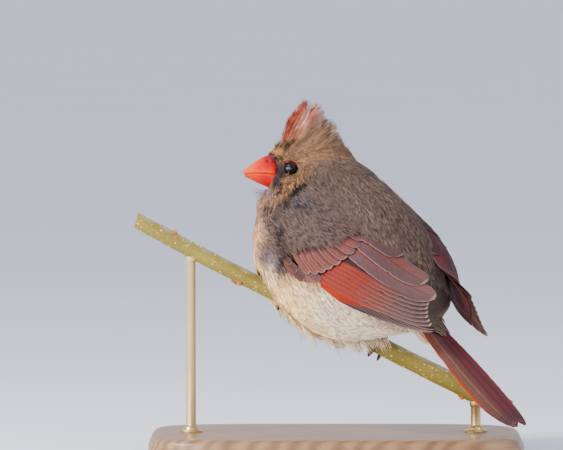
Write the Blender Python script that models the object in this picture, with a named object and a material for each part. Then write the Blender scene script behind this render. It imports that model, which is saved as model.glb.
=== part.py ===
"""A life-size female northern cardinal, perched on a cut twig that a plain display stand holds.

Frame: metres, +Z up, the origin in the middle of the base's underside. The trunk faces -Y, its left is +X.
Places on the bird are written as (forward, left, up) from the middle of its body.
"""
import math

import bmesh
import bpy
import numpy as np
from mathutils import Matrix, Vector

MM = 0.001
GAP = 0.3 * MM                    # what touching pieces keep between them

# Driving sizes of the bird, in metres
BODY_UP = 84 * MM                 # the body's middle above the floor
BODY_PITCH = math.radians(36)     # the trunk's axis above the horizontal
HEAD_AT = (18.5 * MM, 2 * MM, 28.5 * MM)
HEAD_TURN = math.radians(60)      # the head looks over the left shoulder
TAIL_PITCH = math.radians(36.2)
COLLAR_AT = (8 * MM, 1.5 * MM, 16 * MM)

# How finely the body's smooth surface is drawn
SKIN_VOXEL = 1.4 * MM
SKIN_ROUNDS = 14                  # times the joined surface is smoothed
SKIN_KEPT = 0.085                 # the share of its faces that stay
ROOM_KEPT = 0.35                  # and the share of those in the plainer copy that the wings clear
WING_KEPT = 0.85
CREST_KEPT = 0.7

# Where the flesh is parted: a place and the direction square to the cut
LOW_NECK = ((10, 1, 13), (0.12, -0.42, 0.9))
HIGH_NECK = ((15, 3, 22), (0.2, -0.2, 0.96))
WAIST_ALONG = -49 * MM


def spot(forward, left, up):
    """A place on the bird, given in metres from the body's middle, in the row frame."""
    return Vector((left, -forward, up + BODY_UP))


def clear_scene():
    for obj in list(bpy.data.objects):
        bpy.data.objects.remove(obj, do_unlink=True)


def material(name, colour, roughness, metallic=0.0):
    made = bpy.data.materials.new(name)
    made.use_nodes = True
    shader = made.node_tree.nodes["Principled BSDF"]
    shader.inputs["Base Color"].default_value = (*colour, 1.0)
    shader.inputs["Roughness"].default_value = roughness
    shader.inputs["Metallic"].default_value = metallic
    return made


def new_object(name, mesh):
    obj = bpy.data.objects.new(name, mesh)
    bpy.context.scene.collection.objects.link(obj)
    return obj


def mesh_object(name, points, faces):
    mesh = bpy.data.meshes.new(name)
    mesh.from_pydata([tuple(p) for p in points], [], faces)
    mesh.update()
    return new_object(name, mesh)


def through(knots, count):
    """count rows read at even steps from a smooth curve through the rows of knots."""
    knots = np.asarray(knots, float)
    padded = np.vstack([2 * knots[0] - knots[1], knots, 2 * knots[-1] - knots[-2]])
    rows = []
    for t in np.linspace(0, len(knots) - 1, count):
        i = min(int(t), len(knots) - 2)
        u = t - i
        a, b, c, d = padded[i:i + 4]
        rows.append(0.5 * (2 * b + (c - a) * u + (2 * a - 5 * b + 4 * c - d) * u * u
                           + (3 * b - a - 3 * c + d) * u ** 3))
    return np.array(rows)


def loft(name, rings):
    """A closed body through rings of like points, each end closed by a fan to its middle."""
    rings = np.asarray(rings, float)
    count, sides = rings.shape[:2]
    points = np.vstack([rings.reshape(-1, 3), rings[0].mean(axis=0), rings[-1].mean(axis=0)])
    faces = []
    for i in range(count - 1):
        for j in range(sides):
            k = (j + 1) % sides
            faces.append((i * sides + j, i * sides + k, (i + 1) * sides + k, (i + 1) * sides + j))
    first, last = count * sides, count * sides + 1
    for j in range(sides):
        k = (j + 1) % sides
        faces.append((first, k, j))
        faces.append((last, (count - 1) * sides + j, (count - 1) * sides + k))
    obj = mesh_object(name, points, faces)
    face_out(obj)
    return obj


def face_out(obj):
    work = bmesh.new()
    work.from_mesh(obj.data)
    bmesh.ops.recalc_face_normals(work, faces=work.faces)
    if work.calc_volume(signed=True) < 0:
        bmesh.ops.reverse_faces(work, faces=work.faces)
    work.to_mesh(obj.data)
    work.free()


def blob(name, stations, sides, count, place):
    """A smooth body along an axis. A station is (along, middle, half width, up, down) in millimetres."""
    rows = through(stations, count)
    rings = []
    for along, middle, half, up, down in rows:
        ring = []
        for j in range(sides):
            angle = math.tau * j / sides
            rise = up if math.sin(angle) > 0 else down
            height = middle + rise * math.sin(angle)
            ring.append(place(along * MM, half * math.cos(angle) * MM, height * MM))
        rings.append(ring)
    return loft(name, rings)


def trunk_place(along, left, up):
    """A place in the trunk's own frame: along its axis towards the neck, left, and square to both."""
    cos, sin = math.cos(BODY_PITCH), math.sin(BODY_PITCH)
    return spot(along * cos - up * sin, left, along * sin + up * cos)


def head_place(along, left, up):
    """A place in the head's own frame: towards the bill, to the head's left, and up."""
    cos, sin = math.cos(HEAD_TURN), math.sin(HEAD_TURN)
    return spot(HEAD_AT[0] + along * cos - left * sin, HEAD_AT[1] + along * sin + left * cos, HEAD_AT[2] + up)


# The stations of the trunk, head, puffed throat and collar: (along, middle, half width, up, down)
TRUNK = [(33, 0, 2, 2, 2), (31, -2, 14, 14, 16), (26, -1, 23, 25, 27), (9, -2, 30.5, 33.5, 34),
         (-12, -1, 31.5, 35, 33), (-30, 1, 29, 31, 28), (-45, 6, 23.5, 21, 18), (-58, 9, 16, 11.8, 9.5),
         (-67, 9.2, 10, 5.2, 5.8), (-72, 9, 7, 3.2, 3.4)]
HEAD = [(14.6, 3.4, 2.4, 3.2, 3), (12.6, 0.6, 5.8, 9.2, 6), (11, -0.2, 7.6, 11.4, 6.4), (7, 0, 11.2, 13, 9.6),
        (1, 0, 12.9, 13.5, 12.5), (-6, 0, 13.8, 14.5, 14), (-13, 0, 14, 13.5, 14), (-20, 0, 11, 10, 12),
        (-24, 0, 3, 3, 3)]
THROAT = [(-3, -12, 3, 2, 3), (0, -12, 7.5, 3.5, 5), (5, -12, 10.5, 5.2, 6), (10, -12, 11.2, 5.7, 6.5),
          (15, -12.2, 10, 5, 6), (18.4, -12.5, 6.6, 3.2, 4.4), (20.2, -12.6, 1.5, 1, 1.5)]
NECK = [(22, 0, 8, 7, 9), (16, 0, 18, 13.5, 17), (2, 1, 22, 20, 21), (-12, 0, 23, 20, 21),
        (-24, 0, 14, 13, 13), (-28, 0, 3, 3, 3)]


def neck_place(along, left, up):
    """The loose collar under the head, half turned with it."""
    cos, sin = math.cos(HEAD_TURN / 2), math.sin(HEAD_TURN / 2)
    forward, side, high = COLLAR_AT
    return spot(forward + along * cos - left * sin, side + along * sin + left * cos, high + up)


def add_modifier(obj, kind, **settings):
    modifier = obj.modifiers.new(kind.lower(), kind)
    for key, value in settings.items():
        setattr(modifier, key, value)
    return modifier


def apply_modifiers(obj):
    graph = bpy.context.evaluated_depsgraph_get()
    graph.update()
    made = bpy.data.meshes.new_from_object(obj.evaluated_get(graph))
    obj.modifiers.clear()
    obj.data = made


def triangulate(obj):
    work = bmesh.new()
    work.from_mesh(obj.data)
    bmesh.ops.triangulate(work, faces=work.faces)
    work.to_mesh(obj.data)
    work.free()


def keep_largest(obj):
    """Leave only the largest closed surface of a body, with its stray slivers melted away."""
    work = bmesh.new()
    work.from_mesh(obj.data)
    bmesh.ops.remove_doubles(work, verts=work.verts, dist=0.004 * MM)
    bmesh.ops.dissolve_degenerate(work, edges=work.edges, dist=0.001 * MM)
    left = set(work.faces)
    groups = []
    while left:
        queue = [left.pop()]
        group = set(queue)
        while queue:
            face = queue.pop()
            for edge in face.edges:
                if len(edge.link_faces) != 2:
                    continue
                for other in edge.link_faces:
                    if other in left:
                        left.discard(other)
                        group.add(other)
                        queue.append(other)
        groups.append(group)
    groups.sort(key=lambda group: -sum(face.calc_area() for face in group))
    spare = [face for group in groups[1:] for face in group]
    if spare:
        bmesh.ops.delete(work, geom=spare, context="FACES")
        bmesh.ops.delete(work, geom=[v for v in work.verts if not v.link_faces], context="VERTS")
    rim = [edge for edge in work.edges if len(edge.link_faces) == 1]
    if rim:
        bmesh.ops.holes_fill(work, edges=rim, sides=0)
    bmesh.ops.dissolve_limit(work, angle_limit=math.radians(0.6), verts=work.verts, edges=work.edges)
    bmesh.ops.triangulate(work, faces=work.faces)
    work.to_mesh(obj.data)
    work.free()


def combine(target, others, operation="DIFFERENCE"):
    """Join the others to the target, or cut them out of it, in one step, and remove them."""
    group = bpy.data.collections.new("tools")
    bpy.context.scene.collection.children.link(group)
    for obj in others:
        group.objects.link(obj)
    add_modifier(target, "BOOLEAN", operation=operation, operand_type="COLLECTION", collection=group,
                 solver="EXACT")
    apply_modifiers(target)
    for obj in others:
        bpy.data.objects.remove(obj, do_unlink=True)
    bpy.data.collections.remove(group)
    keep_largest(target)
    return target


def lighten(obj, ratio):
    """Melt the sliver faces that joining leaves, and keep one closed surface."""
    add_modifier(obj, "DECIMATE", ratio=ratio)
    apply_modifiers(obj)
    keep_largest(obj)
    return obj


def grown(source, name, by):
    """A copy of a body whose surface stands off by a distance."""
    obj = new_object(name, source.data.copy())
    work = bmesh.new()
    work.from_mesh(obj.data)
    work.normal_update()
    moves = [(v, v.normal * min(v.calc_shell_factor(), 2.0) * by) for v in work.verts]
    for v, move in moves:
        v.co += move
    work.to_mesh(obj.data)
    work.free()
    return obj


def part_of(source, name, planes):
    """A copy of a body, kept only behind each plane (point, outward direction), its cuts closed."""
    obj = new_object(name, source.data.copy())
    work = bmesh.new()
    work.from_mesh(obj.data)
    for point, outward in planes:
        geometry = work.verts[:] + work.edges[:] + work.faces[:]
        cut = bmesh.ops.bisect_plane(work, geom=geometry, plane_co=point, plane_no=outward, dist=1e-7,
                                     clear_outer=True)
        rim = [item for item in cut["geom_cut"] if isinstance(item, bmesh.types.BMEdge)]
        bmesh.ops.holes_fill(work, edges=rim, sides=0)
    bmesh.ops.triangulate(work, faces=work.faces)
    work.to_mesh(obj.data)
    work.free()
    face_out(obj)
    return obj


def ball(name, middle, radius, segments=24, rings=14, stretch=None):
    work = bmesh.new()
    bmesh.ops.create_uvsphere(work, u_segments=segments, v_segments=rings, radius=radius)
    if stretch:
        bmesh.ops.transform(work, matrix=stretch, verts=work.verts)
    bmesh.ops.translate(work, vec=middle, verts=work.verts)
    mesh = bpy.data.meshes.new(name)
    work.to_mesh(mesh)
    work.free()
    return new_object(name, mesh)


def tube(name, line, radii, sides=12, up=Vector((0, 0, 1))):
    """A round closed body along a line; a radius may be one number or a (wide, high) pair."""
    line = [Vector(p) for p in line]
    rings = []
    for i, middle in enumerate(line):
        run = (line[min(i + 1, len(line) - 1)] - line[max(i - 1, 0)]).normalized()
        side = run.cross(up).normalized()
        over = side.cross(run).normalized()
        wide, high = radii[i] if isinstance(radii[i], (tuple, list, np.ndarray)) else (radii[i], radii[i])
        rings.append([middle + side * wide * math.cos(math.tau * j / sides)
                      + over * high * math.sin(math.tau * j / sides) for j in range(sides)])
    return loft(name, rings)


def skin():
    """The whole feathered surface of the bird without its wings, tail and crest."""
    pieces = [blob("trunk", TRUNK, 32, 28, trunk_place), blob("skull", HEAD, 30, 20, head_place),
              blob("throat", THROAT, 18, 16, head_place), blob("collar", NECK, 24, 14, neck_place)]
    whole = pieces[0]
    with bpy.context.temp_override(active_object=whole, selected_editable_objects=pieces):
        bpy.ops.object.join()
    add_modifier(whole, "REMESH", mode="VOXEL", voxel_size=SKIN_VOXEL)
    add_modifier(whole, "SMOOTH", factor=0.5, iterations=SKIN_ROUNDS)
    add_modifier(whole, "DECIMATE", ratio=SKIN_KEPT)
    apply_modifiers(whole)
    whole.name = "skin"
    return whole


# The folded wing is drawn flat, p from wrist to tip and q from its lower to its upper edge, then laid on this
# surface: rows for p = 0, 20, 40, 60, 80 mm, in each the places for q = 0, 15, 30 mm.
WING = [((5, 29, -5), (1, 27.5, 9), (-3, 20, 22)),
        ((-14.8, 31.9, -11.9), (-20, 29, 2.3), (-23, 17, 13)),
        ((-32.6, 29.2, -20.8), (-38.4, 25.9, -3.6), (-38, 9, 3.6)),
        ((-49.3, 21.6, -26.8), (-53, 16.8, -13.8), (-55, 2.4, -6.2)),
        ((-66.5, 15.5, -32.7), (-70.8, 9.6, -20.7), (-74.3, -0.3, -10.9))]


def wing_base(p, q):
    rows = np.asarray(WING, float)
    padded = np.concatenate([[2 * rows[0] - rows[1]], rows, [2 * rows[-1] - rows[-2]],
                             [3 * rows[-1] - 2 * rows[-2]]])
    t = p / 20 + 1
    i = min(max(int(t), 1), len(padded) - 3)
    u = t - i
    a, b, c, d = padded[i - 1], padded[i], padded[i + 1], padded[i + 2]
    low, mid, high = 0.5 * (2 * b + (c - a) * u + (2 * a - 5 * b + 4 * c - d) * u * u
                            + (3 * b - a - 3 * c + d) * u ** 3)
    v = q / 15
    return low * (v - 1) * (v - 2) / 2 - mid * v * (v - 2) + high * v * (v - 1) / 2


def wing_place(p, q, h, side):
    """A place over the wing's surface, in millimetres; side is 1 for the left wing and -1 for the right."""
    here = wing_base(p, q)
    along = wing_base(p + 0.5, q) - wing_base(p - 0.5, q)
    over = wing_base(p, q + 0.5) - wing_base(p, q - 0.5)
    out = np.cross(along, over)
    f, l, u = here + out / np.linalg.norm(out) * h
    return spot(f * MM, side * l * MM, u * MM)


def slab(name, outline, place, low, high, rows=12):
    """A closed plate over a drawn surface, between two edge lines of (p, q low, q high)."""
    rows_at = through(outline, rows)
    rings = []
    for p, q_low, q_high in rows_at:
        mid = (q_low + q_high) / 2
        rings.append([place(p, q_low, (low + high) / 2), place(p, (q_low + mid) / 2, high), place(p, mid, high),
                      place(p, (q_high + mid) / 2, high), place(p, q_high, (low + high) / 2),
                      place(p, (q_high + mid) / 2, low), place(p, mid, low), place(p, (q_low + mid) / 2, low)])
    return loft(name, rings)


# How wide a feather is from root to tip, as parts of its length and of its half width
OUTLINE = [(0, 0.4), (0.2, 0.78), (0.42, 0.97), (0.62, 1), (0.78, 0.93), (0.9, 0.72), (1, 0.22)]
SHORT = [(0, 0.8), (0.3, 0.97), (0.6, 1), (0.84, 0.84), (1, 0.22)]
COVERT = [(0, 0.6), (0.35, 0.95), (0.65, 1), (0.87, 0.8), (1, 0.25)]


def vane(place, root, tip, half, height, tilt=0.0, bow=0.0, thick=0.55, sunk=1.2, outline=OUTLINE):
    """One flat feather over a drawn surface, in millimetres.

    root and tip are (p, q), bow bends the shaft sideways, height is the shaft's height over the surface, and
    tilt lifts the edge of lower q, so that neighbours overlap like shingles. The root sinks below the surface.
    """
    p0, q0 = root
    p1, q1 = tip
    length = math.hypot(p1 - p0, q1 - q0)
    side_p, side_q = -(q1 - q0) / length, (p1 - p0) / length
    points = []
    for t, part in outline:
        mid = bow * 4 * t * (1 - t)
        p = p0 + (p1 - p0) * t + side_p * mid
        q = q0 + (q1 - q0) * t + side_q * mid
        h = height - sunk * (1 - min(1, t / 0.35)) ** 2
        across = half * part
        deep = thick / 2 * (1 - 0.25 * t)
        for way, face in ((-1, 1), (1, 1), (1, -1), (-1, -1)):
            points.append(place(p + side_p * way * across, q + side_q * way * across,
                                h - way * tilt * across + face * deep))
    faces = [(0, 1, 2), (0, 2, 3)]
    for i in range(0, 4 * len(outline) - 4, 4):
        j = i + 4
        faces += [(i, j + 1, i + 1), (i, j, j + 1), (i + 1, j + 1, j + 2), (i + 1, j + 2, i + 2),
                  (i + 3, i + 2, j + 2), (i + 3, j + 2, j + 3), (i, i + 3, j + 3), (i, j + 3, j)]
    last = 4 * len(outline) - 4
    faces += [(last, last + 2, last + 1), (last, last + 3, last + 2)]
    obj = mesh_object("vane", points, faces)
    face_out(obj)
    return obj


def spread(first, last, count, i):
    return first + (last - first) * i / (count - 1)


# Where the wing's feathers end, as (p, q), from its lower edge to its upper one
PRIMARY_TIPS = [(66, 1.7), (73, 2.0), (78, 2.3), (82, 2.7), (85, 3.1), (86.5, 3.6), (86.5, 4.2), (85, 4.8)]
SECONDARY_TIPS = [(82.5, 6.0), (80.5, 7.4), (78, 8.9), (76, 10.6), (75, 12.6), (75, 15)]
TERTIALS = [((33, 19.2), (74, 19.6), 4.7), ((33, 24), (67, 23), 5.0), ((31, 27.5), (50, 27.8), 4.6)]
GREATER_TIPS = [(24.5, 4.4), (28, 5.8), (31, 7.4), (33.5, 9.4), (35.8, 11.8), (37.4, 14.4), (38.2, 17.2),
                (38, 20.4), (37, 24)]


def wing_feathers(place, chance):
    """The wing's feathers, from those that lie lowest to those on top."""
    feathers = []
    for i, tip in enumerate(PRIMARY_TIPS):
        root = (30 + i, 3.6 + 0.25 * i)
        feathers.append(vane(place, root, tip, 2.2, -0.3, 0.2, 0.2, sunk=0.9, outline=SHORT))
    for i, (p, q) in enumerate(SECONDARY_TIPS):
        tip = (p + chance.uniform(-0.4, 0.4), q)
        root = (28 + 1.8 * i, 6 + 1.7 * i)
        feathers.append(vane(place, root, tip, 3.2, -0.05, 0.2, 0.4, sunk=0.7, outline=SHORT))
    for i, (root, tip, half) in enumerate(TERTIALS):
        feathers.append(vane(place, root, tip, half, 0.35 + 0.3 * i, 0.06, 0.5, 0.6, sunk=0.8))
    for i in range(4):
        tip = (spread(25, 30, 4, i), spread(1.6, 3.6, 4, i))
        feathers.append(vane(place, (12 + 2 * i, 2.2 + 0.6 * i), tip, 1.6, 0.4, 0.16, outline=COVERT))
    for i, (p, q) in enumerate(GREATER_TIPS):
        tip = (p + chance.uniform(-0.4, 0.4), q)
        root = (p - 13, q + spread(4.4, 1.5, len(GREATER_TIPS), i))
        feathers.append(vane(place, root, tip, 2.2, 0.8, 0.13, 0.2, sunk=0.5, outline=COVERT))
    for i in range(2):
        tip = (spread(22.5, 15, 2, i), spread(1, 3.2, 2, i))
        feathers.append(vane(place, (8, 2.6 + i), tip, 1.9 - 0.3 * i, 1.05 + 0.2 * i, 0.12, outline=COVERT))
    for i in range(7):
        tip = (spread(14, 29, 7, i) + chance.uniform(-0.4, 0.4), spread(8.4, 23.5, 7, i))
        root = (tip[0] - 10, tip[1] + 1.2)
        feathers.append(vane(place, root, tip, 2.2, 1.25, 0.1, sunk=0.6, outline=COVERT))
    return feathers


# The plate that carries the feathers: (p, q of its lower edge, q of its upper edge), and its faces' heights
WING_PLATE = [(5, 3, 25), (20, 3, 28), (34, 3.2, 29), (48, 3.2, 27), (60, 3, 22), (74, 4, 12)]
PLATE_LOW = -1.3
PLATE_HIGH = -0.35


def make_wing(name, side, room):
    def place(p, q, h):
        return wing_place(p, q, h, side)
    wing = slab(name, WING_PLATE, place, PLATE_LOW, PLATE_HIGH)
    triangulate(wing)
    chance = np.random.default_rng(17 + side)
    combine(wing, wing_feathers(place, chance), "UNION")
    combine(wing, [room])
    return lighten(wing, WING_KEPT)


# The tail runs back and down from its root, which lies inside the rump.
TAIL_ROOT = (-25.7, 0, -7.7)
TAIL_START = 28
TAIL_ARCH = 0.012                 # how strongly the tail is arched across
TAIL_ENDS = (99, 100, 99.6, 98.2, 96, 92.6)
TAIL_PLATE = [(TAIL_START, -4.6, 4.6), (40, -5.5, 5.5), (52, -5, 5)]
TAIL_CLEAR = [(TAIL_START - 0.5, -6.6, 6.6), (40, -8.6, 8.6), (60, -11, 11), (80, -12, 12)]


def tail_place(p, q, h):
    cos, sin = math.cos(TAIL_PITCH), math.sin(TAIL_PITCH)
    f, l, u = TAIL_ROOT
    h = h - TAIL_ARCH * q * q
    return spot((f - p * cos - h * sin) * MM, (l + q) * MM, (u - p * sin + h * cos) * MM)


def make_tail():
    """Twelve tail feathers, the middle pair on top, from one flat root."""
    tail = slab("tail", TAIL_PLATE, tail_place, -1.2, 0.6, rows=5)
    triangulate(tail)
    feathers = []
    for pair, reach in enumerate(TAIL_ENDS):
        for side in (1, -1):
            height = 0.95 - 0.37 * pair + 0.07 * side
            root = (TAIL_START + 1, side * (0.5 + 0.22 * pair))
            tip = (reach + 0.3 * side, side * (1.7 + 0.72 * pair))
            feathers.append(vane(tail_place, root, tip, 4.5 - 0.1 * pair, height, bow=side * 0.7, sunk=0.2))
    return combine(tail, feathers, "UNION")


def tail_room():
    """The space the tail takes inside the rump, with its gap all round."""
    return slab("tail_room", TAIL_CLEAR, tail_place, -2.4, 1.9, rows=6)


def rump_coverts(chance):
    """The short feathers that close over and under the root of the tail."""
    feathers = []
    for row, (count, root, tip, wide, height) in enumerate(((7, 31, 46, 7.6, 2.3), (6, 29, 40.5, 8.6, 3.2))):
        for i in range(count):
            q = spread(-wide, wide, count, i)
            end = tip - 0.045 * q * q + chance.uniform(-0.7, 0.7)
            over = height + 0.25 * (i % 2)
            feathers.append(vane(tail_place, (root, q * 0.75), (end, q), 2.5, over, thick=0.6, sunk=1.5))
    for i in range(6):
        q = spread(-5.5, 5.5, 6, i)
        feathers.append(vane(tail_place, (32, q * 0.7), (42 + chance.uniform(-1, 1) - 0.05 * q * q, q), 2.6,
                             -3.0 - 0.25 * (i % 2), thick=0.6, sunk=-1.5))
    return feathers


def head_point(a, s, h):
    return head_place(a * MM, s * MM, h * MM)


# The bill from its root to its tip: along, its top, half its width, the mouth line, its underside
BILL = [(9, 5.6, 2.8, -1.8, -5.6), (10, 6.7, 4.4, -1.6, -6.6), (11.2, 7.2, 5.5, -1.2, -7.0),
        (12.6, 7.2, 5.6, -0.5, -6.6), (14.5, 6.7, 4.9, -0.1, -5.7), (17, 5.6, 3.9, 0.0, -4.7),
        (19.5, 4.0, 2.8, 0.1, -3.5), (21.9, 2.2, 1.7, -0.1, -2.3), (23.9, 0.5, 0.7, -0.6, -1.5)]


def make_bill():
    """The two halves of the bill, parted along the mouth line that turns down at the gape."""
    upper = []
    lower = []
    for a, top, half, mouth, bottom in through(BILL, 15):
        edge = mouth + GAP / MM / 2
        upper.append([head_point(a, half * math.cos(t), edge + (top - edge) * math.sin(t))
                      for t in np.linspace(0, math.pi, 13)])
    for a, top, half, mouth, bottom in through(BILL, 15)[:-1]:
        edge = mouth - GAP / MM / 2
        wide = half * 0.93
        lower.append([head_point(a - 0.4, wide * math.cos(t), edge + (bottom - edge) * math.sin(t))
                      for t in np.linspace(0, math.pi, 13)])
    return loft("bill_upper", upper), loft("bill_lower", lower)


EYE_AT = (5.7, 8.15, 2.2)
EYE_TILT = math.radians(20)      # the eyes look a little forward
EYE_RADIUS = 3.6
LID_OUT = 2.35                    # how far out of the eye's middle the lids' ring lies
LID_RING = 2.95
LID_THICK = 0.72
LID_STEPS = 18
LID_SIDES = 5
DISH_OUT = 4.6                    # the shallow dish of the face that the lids lie in
DISH_RADIUS = 4.4


def eye_point(side, forward, out, up):
    """A place about an eye: forward across it, out along its gaze, and up."""
    cos, sin = math.cos(EYE_TILT), math.sin(EYE_TILT)
    return head_point(EYE_AT[0] + forward * cos + out * sin, side * (EYE_AT[1] + out * cos - forward * sin),
                      EYE_AT[2] + up)


def lids(side):
    """The two lids, one closed ring with a corner before and behind."""
    points = []
    for j in range(LID_STEPS):
        angle = math.tau * j / LID_STEPS
        corner = 0.35 * abs(math.cos(angle)) ** 6
        for k in range(LID_SIDES):
            turn = math.tau * k / LID_SIDES
            reach = LID_RING + corner + LID_THICK * math.cos(turn)
            points.append(eye_point(side, reach * math.cos(angle), LID_OUT + LID_THICK * math.sin(turn),
                                    0.94 * reach * math.sin(angle)))
    faces = []
    for j in range(LID_STEPS):
        for k in range(LID_SIDES):
            a, b = j * LID_SIDES + k, j * LID_SIDES + (k + 1) % LID_SIDES
            c, d = (a + LID_SIDES) % len(points), (b + LID_SIDES) % len(points)
            faces.append((a, b, d, c))
    ring = mesh_object("lids", points, faces)
    face_out(ring)
    return ring


def make_head(skin_body, planes, upper, lower):
    head = part_of(skin_body, "head", planes)
    dishes = [ball("dish", eye_point(side, 0, DISH_OUT, 0), DISH_RADIUS * MM, 16, 8) for side in (1, -1)]
    combine(head, dishes)
    combine(head, [lids(1), lids(-1)], "UNION")
    cutters = [grown(upper, "bill_room_upper", GAP), grown(lower, "bill_room_lower", GAP)]
    for side in (1, -1):
        cutters.append(ball("eye_room", eye_point(side, 0, 0, 0), EYE_RADIUS * MM + GAP * 1.15, 18, 10))
    return combine(head, cutters)


NOSTRIL_AT = (14.4, 3.8, 4.9)
NOSTRIL_SIZE = (1.15, 0.6, 0.6)


def nostrils():
    """Two small slanting pits beside the culmen."""
    a, s, h = NOSTRIL_AT
    pits = []
    for side in (1, -1):
        shape = Matrix.Rotation(HEAD_TURN - math.pi / 2, 4, "Z") @ Matrix.Diagonal((*NOSTRIL_SIZE, 1))
        pits.append(ball("nostril", head_point(a, side * s, h), 1 * MM, 8, 6, shape))
    return pits


# The crest's core: (middle, height, half length, half width) in the head's frame
CREST = [(-3, 5, 12, 8.4), (-3, 9, 12, 7.6), (-3.2, 14, 9.6, 5.4), (-4, 19, 6.8, 3.5), (-4.8, 24, 3.8, 2.0),
         (-5.2, 27.6, 1.2, 0.8)]
# Its tiers: how many feathers, root height, tip height in front and behind, tip middle, half length, half width
CREST_TIERS = [(11, 6.5, 15, 12, -4.4, 11.6, 6.4), (10, 9.5, 21, 18.5, -4.9, 8.8, 4.0),
               (8, 13, 26.4, 24.5, -5.6, 5.0, 2.0), (4, 17, 29.4, 28.2, -5.0, 2.0, 0.7)]
CREST_OUTLINE = [(0, 0.8), (0.35, 1), (0.65, 0.85), (0.85, 0.55), (1, 0.16)]


def crest_core(height):
    rows = through(CREST, 61)
    return [np.interp(height, rows[:, 1], rows[:, i]) for i in (0, 2, 3)]


def make_crest(head):
    rings = []
    for a, h, half_long, half_wide in through(CREST, 10):
        rings.append([head_point(a + half_long * math.cos(t), half_wide * math.sin(t), h)
                      for t in np.arange(14) * math.tau / 14])
    crest = loft("crest", rings)
    triangulate(crest)
    chance = np.random.default_rng(11)
    feathers = []
    for tier, (count, low, front, back, middle, half_long, half_wide) in enumerate(CREST_TIERS):
        for i in range(count):
            turn = math.tau * (i + 0.5 * (tier % 2)) / count + chance.uniform(-0.08, 0.08)
            c, s = math.cos(turn), math.sin(turn)
            core_a, core_long, core_wide = crest_core(low)
            lean = 0.95 if c > 0 else 0.6
            start = np.array([core_a + lean * core_long * c, 0.95 * core_wide * s, low])
            high = front * (1 + c) / 2 + back * (1 - c) / 2 + chance.uniform(-0.7, 0.7)
            end = np.array([middle + half_long * c, half_wide * s, high])
            length = np.linalg.norm(end - start)
            run = (end - start) / length
            across = np.array([-s, c, 0.0])
            out = np.cross(across, run)
            out /= np.linalg.norm(out)

            def place(p, q, h, start=start, run=run, across=across, out=out, length=length):
                t = p / length
                a, side, up = start + run * p + across * q + out * (h + 0.5 * 4 * t * (1 - t))
                return head_point(a, side, up)
            half, over = 2.0 - 0.25 * tier, 0.1 + 0.12 * (i % 2)
            feathers.append(vane(place, (0, 0), (length, 0), half, over, thick=0.6, sunk=0.5,
                                 outline=CREST_OUTLINE))
    combine(crest, feathers, "UNION")
    combine(crest, [grown(head, "head_room", GAP)])
    return lighten(crest, CREST_KEPT)


# The perch, measured sideways from the body's middle as the twig lies: (across, height of its middle, radius)
PERCH = [(-80, 10, 3.1), (-54, -4, 3.2), (-30, -16.3, 3.25), (0, -31.4, 3.35), (28, -45.6, 3.6),
         (50, -56.5, 3.75), (70, -66.4, 3.95)]
SIDEWAYS = (-0.669, -0.743)       # the way the perch runs, as (forward, left)


def perch_place(d, toward, u):
    """d runs along the perch seen from its side, toward is square to it on the bird's left rear side."""
    forward = SIDEWAYS[0] * d + SIDEWAYS[1] * toward
    left = SIDEWAYS[1] * d - SIDEWAYS[0] * toward
    return spot(forward * MM, left * MM, u * MM)


def perch_line(count):
    rows = through(PERCH, count)
    return [(perch_place(d, 0, u), radius * MM) for d, u, radius in rows]


def perch_at(d):
    rows = through(PERCH, 241)
    return [np.interp(d, rows[:, 0], rows[:, i]) for i in (1, 2)]


# Buds and leaf scars: (across, angle round the perch, size)
BUDS = [(-39, 250, 1.5), (-37.2, 300, 1.2), (-2, 262, 1.4), (52, 285, 1.5), (54.5, 240, 1.3), (-66, 80, 1.1)]


def make_perch():
    line = perch_line(22)
    perch = tube("perch", [p for p, _ in line], [r for _, r in line], sides=12)
    triangulate(perch)
    lumps = []
    for d, angle, size in BUDS:
        radius = perch_at(d)[1]
        lean = Matrix.Rotation(0.5, 4, Vector((0.67, 0.74, 0))) @ Matrix.Diagonal((1, 1, 1.15, 1))
        lumps.append(ball("bud", round_perch(d, angle, radius + 0.1 * size), size * MM, 8, 5, lean))
    return combine(perch, lumps, "UNION")


TROUGH = 7.3                      # the radius of the room for the perch and toes
TROUGH_ENDS = (-66, 60)
TROUGH_DEEP = 45


def trough():
    """What is cut from the belly: room for the perch and toes, open downwards."""
    rings = []
    for d in np.linspace(*TROUGH_ENDS, 16):
        u = perch_at(d)[0]
        ring = [round_perch(d, t, TROUGH) for t in np.linspace(0, 180, 11)]
        ring += [perch_place(d, -TROUGH, u - TROUGH_DEEP), perch_place(d, TROUGH, u - TROUGH_DEEP)]
        rings.append(ring)
    return loft("trough", rings)


# Where the feet hold the perch, and the toes: (shift along it, way round it, length, radius)
FEET = {"left": -17.2, "right": 15.6}
TOES = ((-3.6, -1, 12.0, 1.1), (0.0, -1, 13.6, 1.15), (3.6, -1, 11.6, 1.05), (0.4, 1, 9.0, 1.25))


def round_perch(d, angle, radius):
    """Round the perch: angle 90 is its top, 180 its far side, 0 its side towards the bird's left rear."""
    slope = (perch_at(d + 1)[0] - perch_at(d - 1)[0]) / 2
    long = math.hypot(1, slope)
    rise = radius * math.sin(math.radians(angle))
    toward = radius * math.cos(math.radians(angle))
    return perch_place(d - slope / long * rise, toward, perch_at(d)[0] + rise / long)


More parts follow.
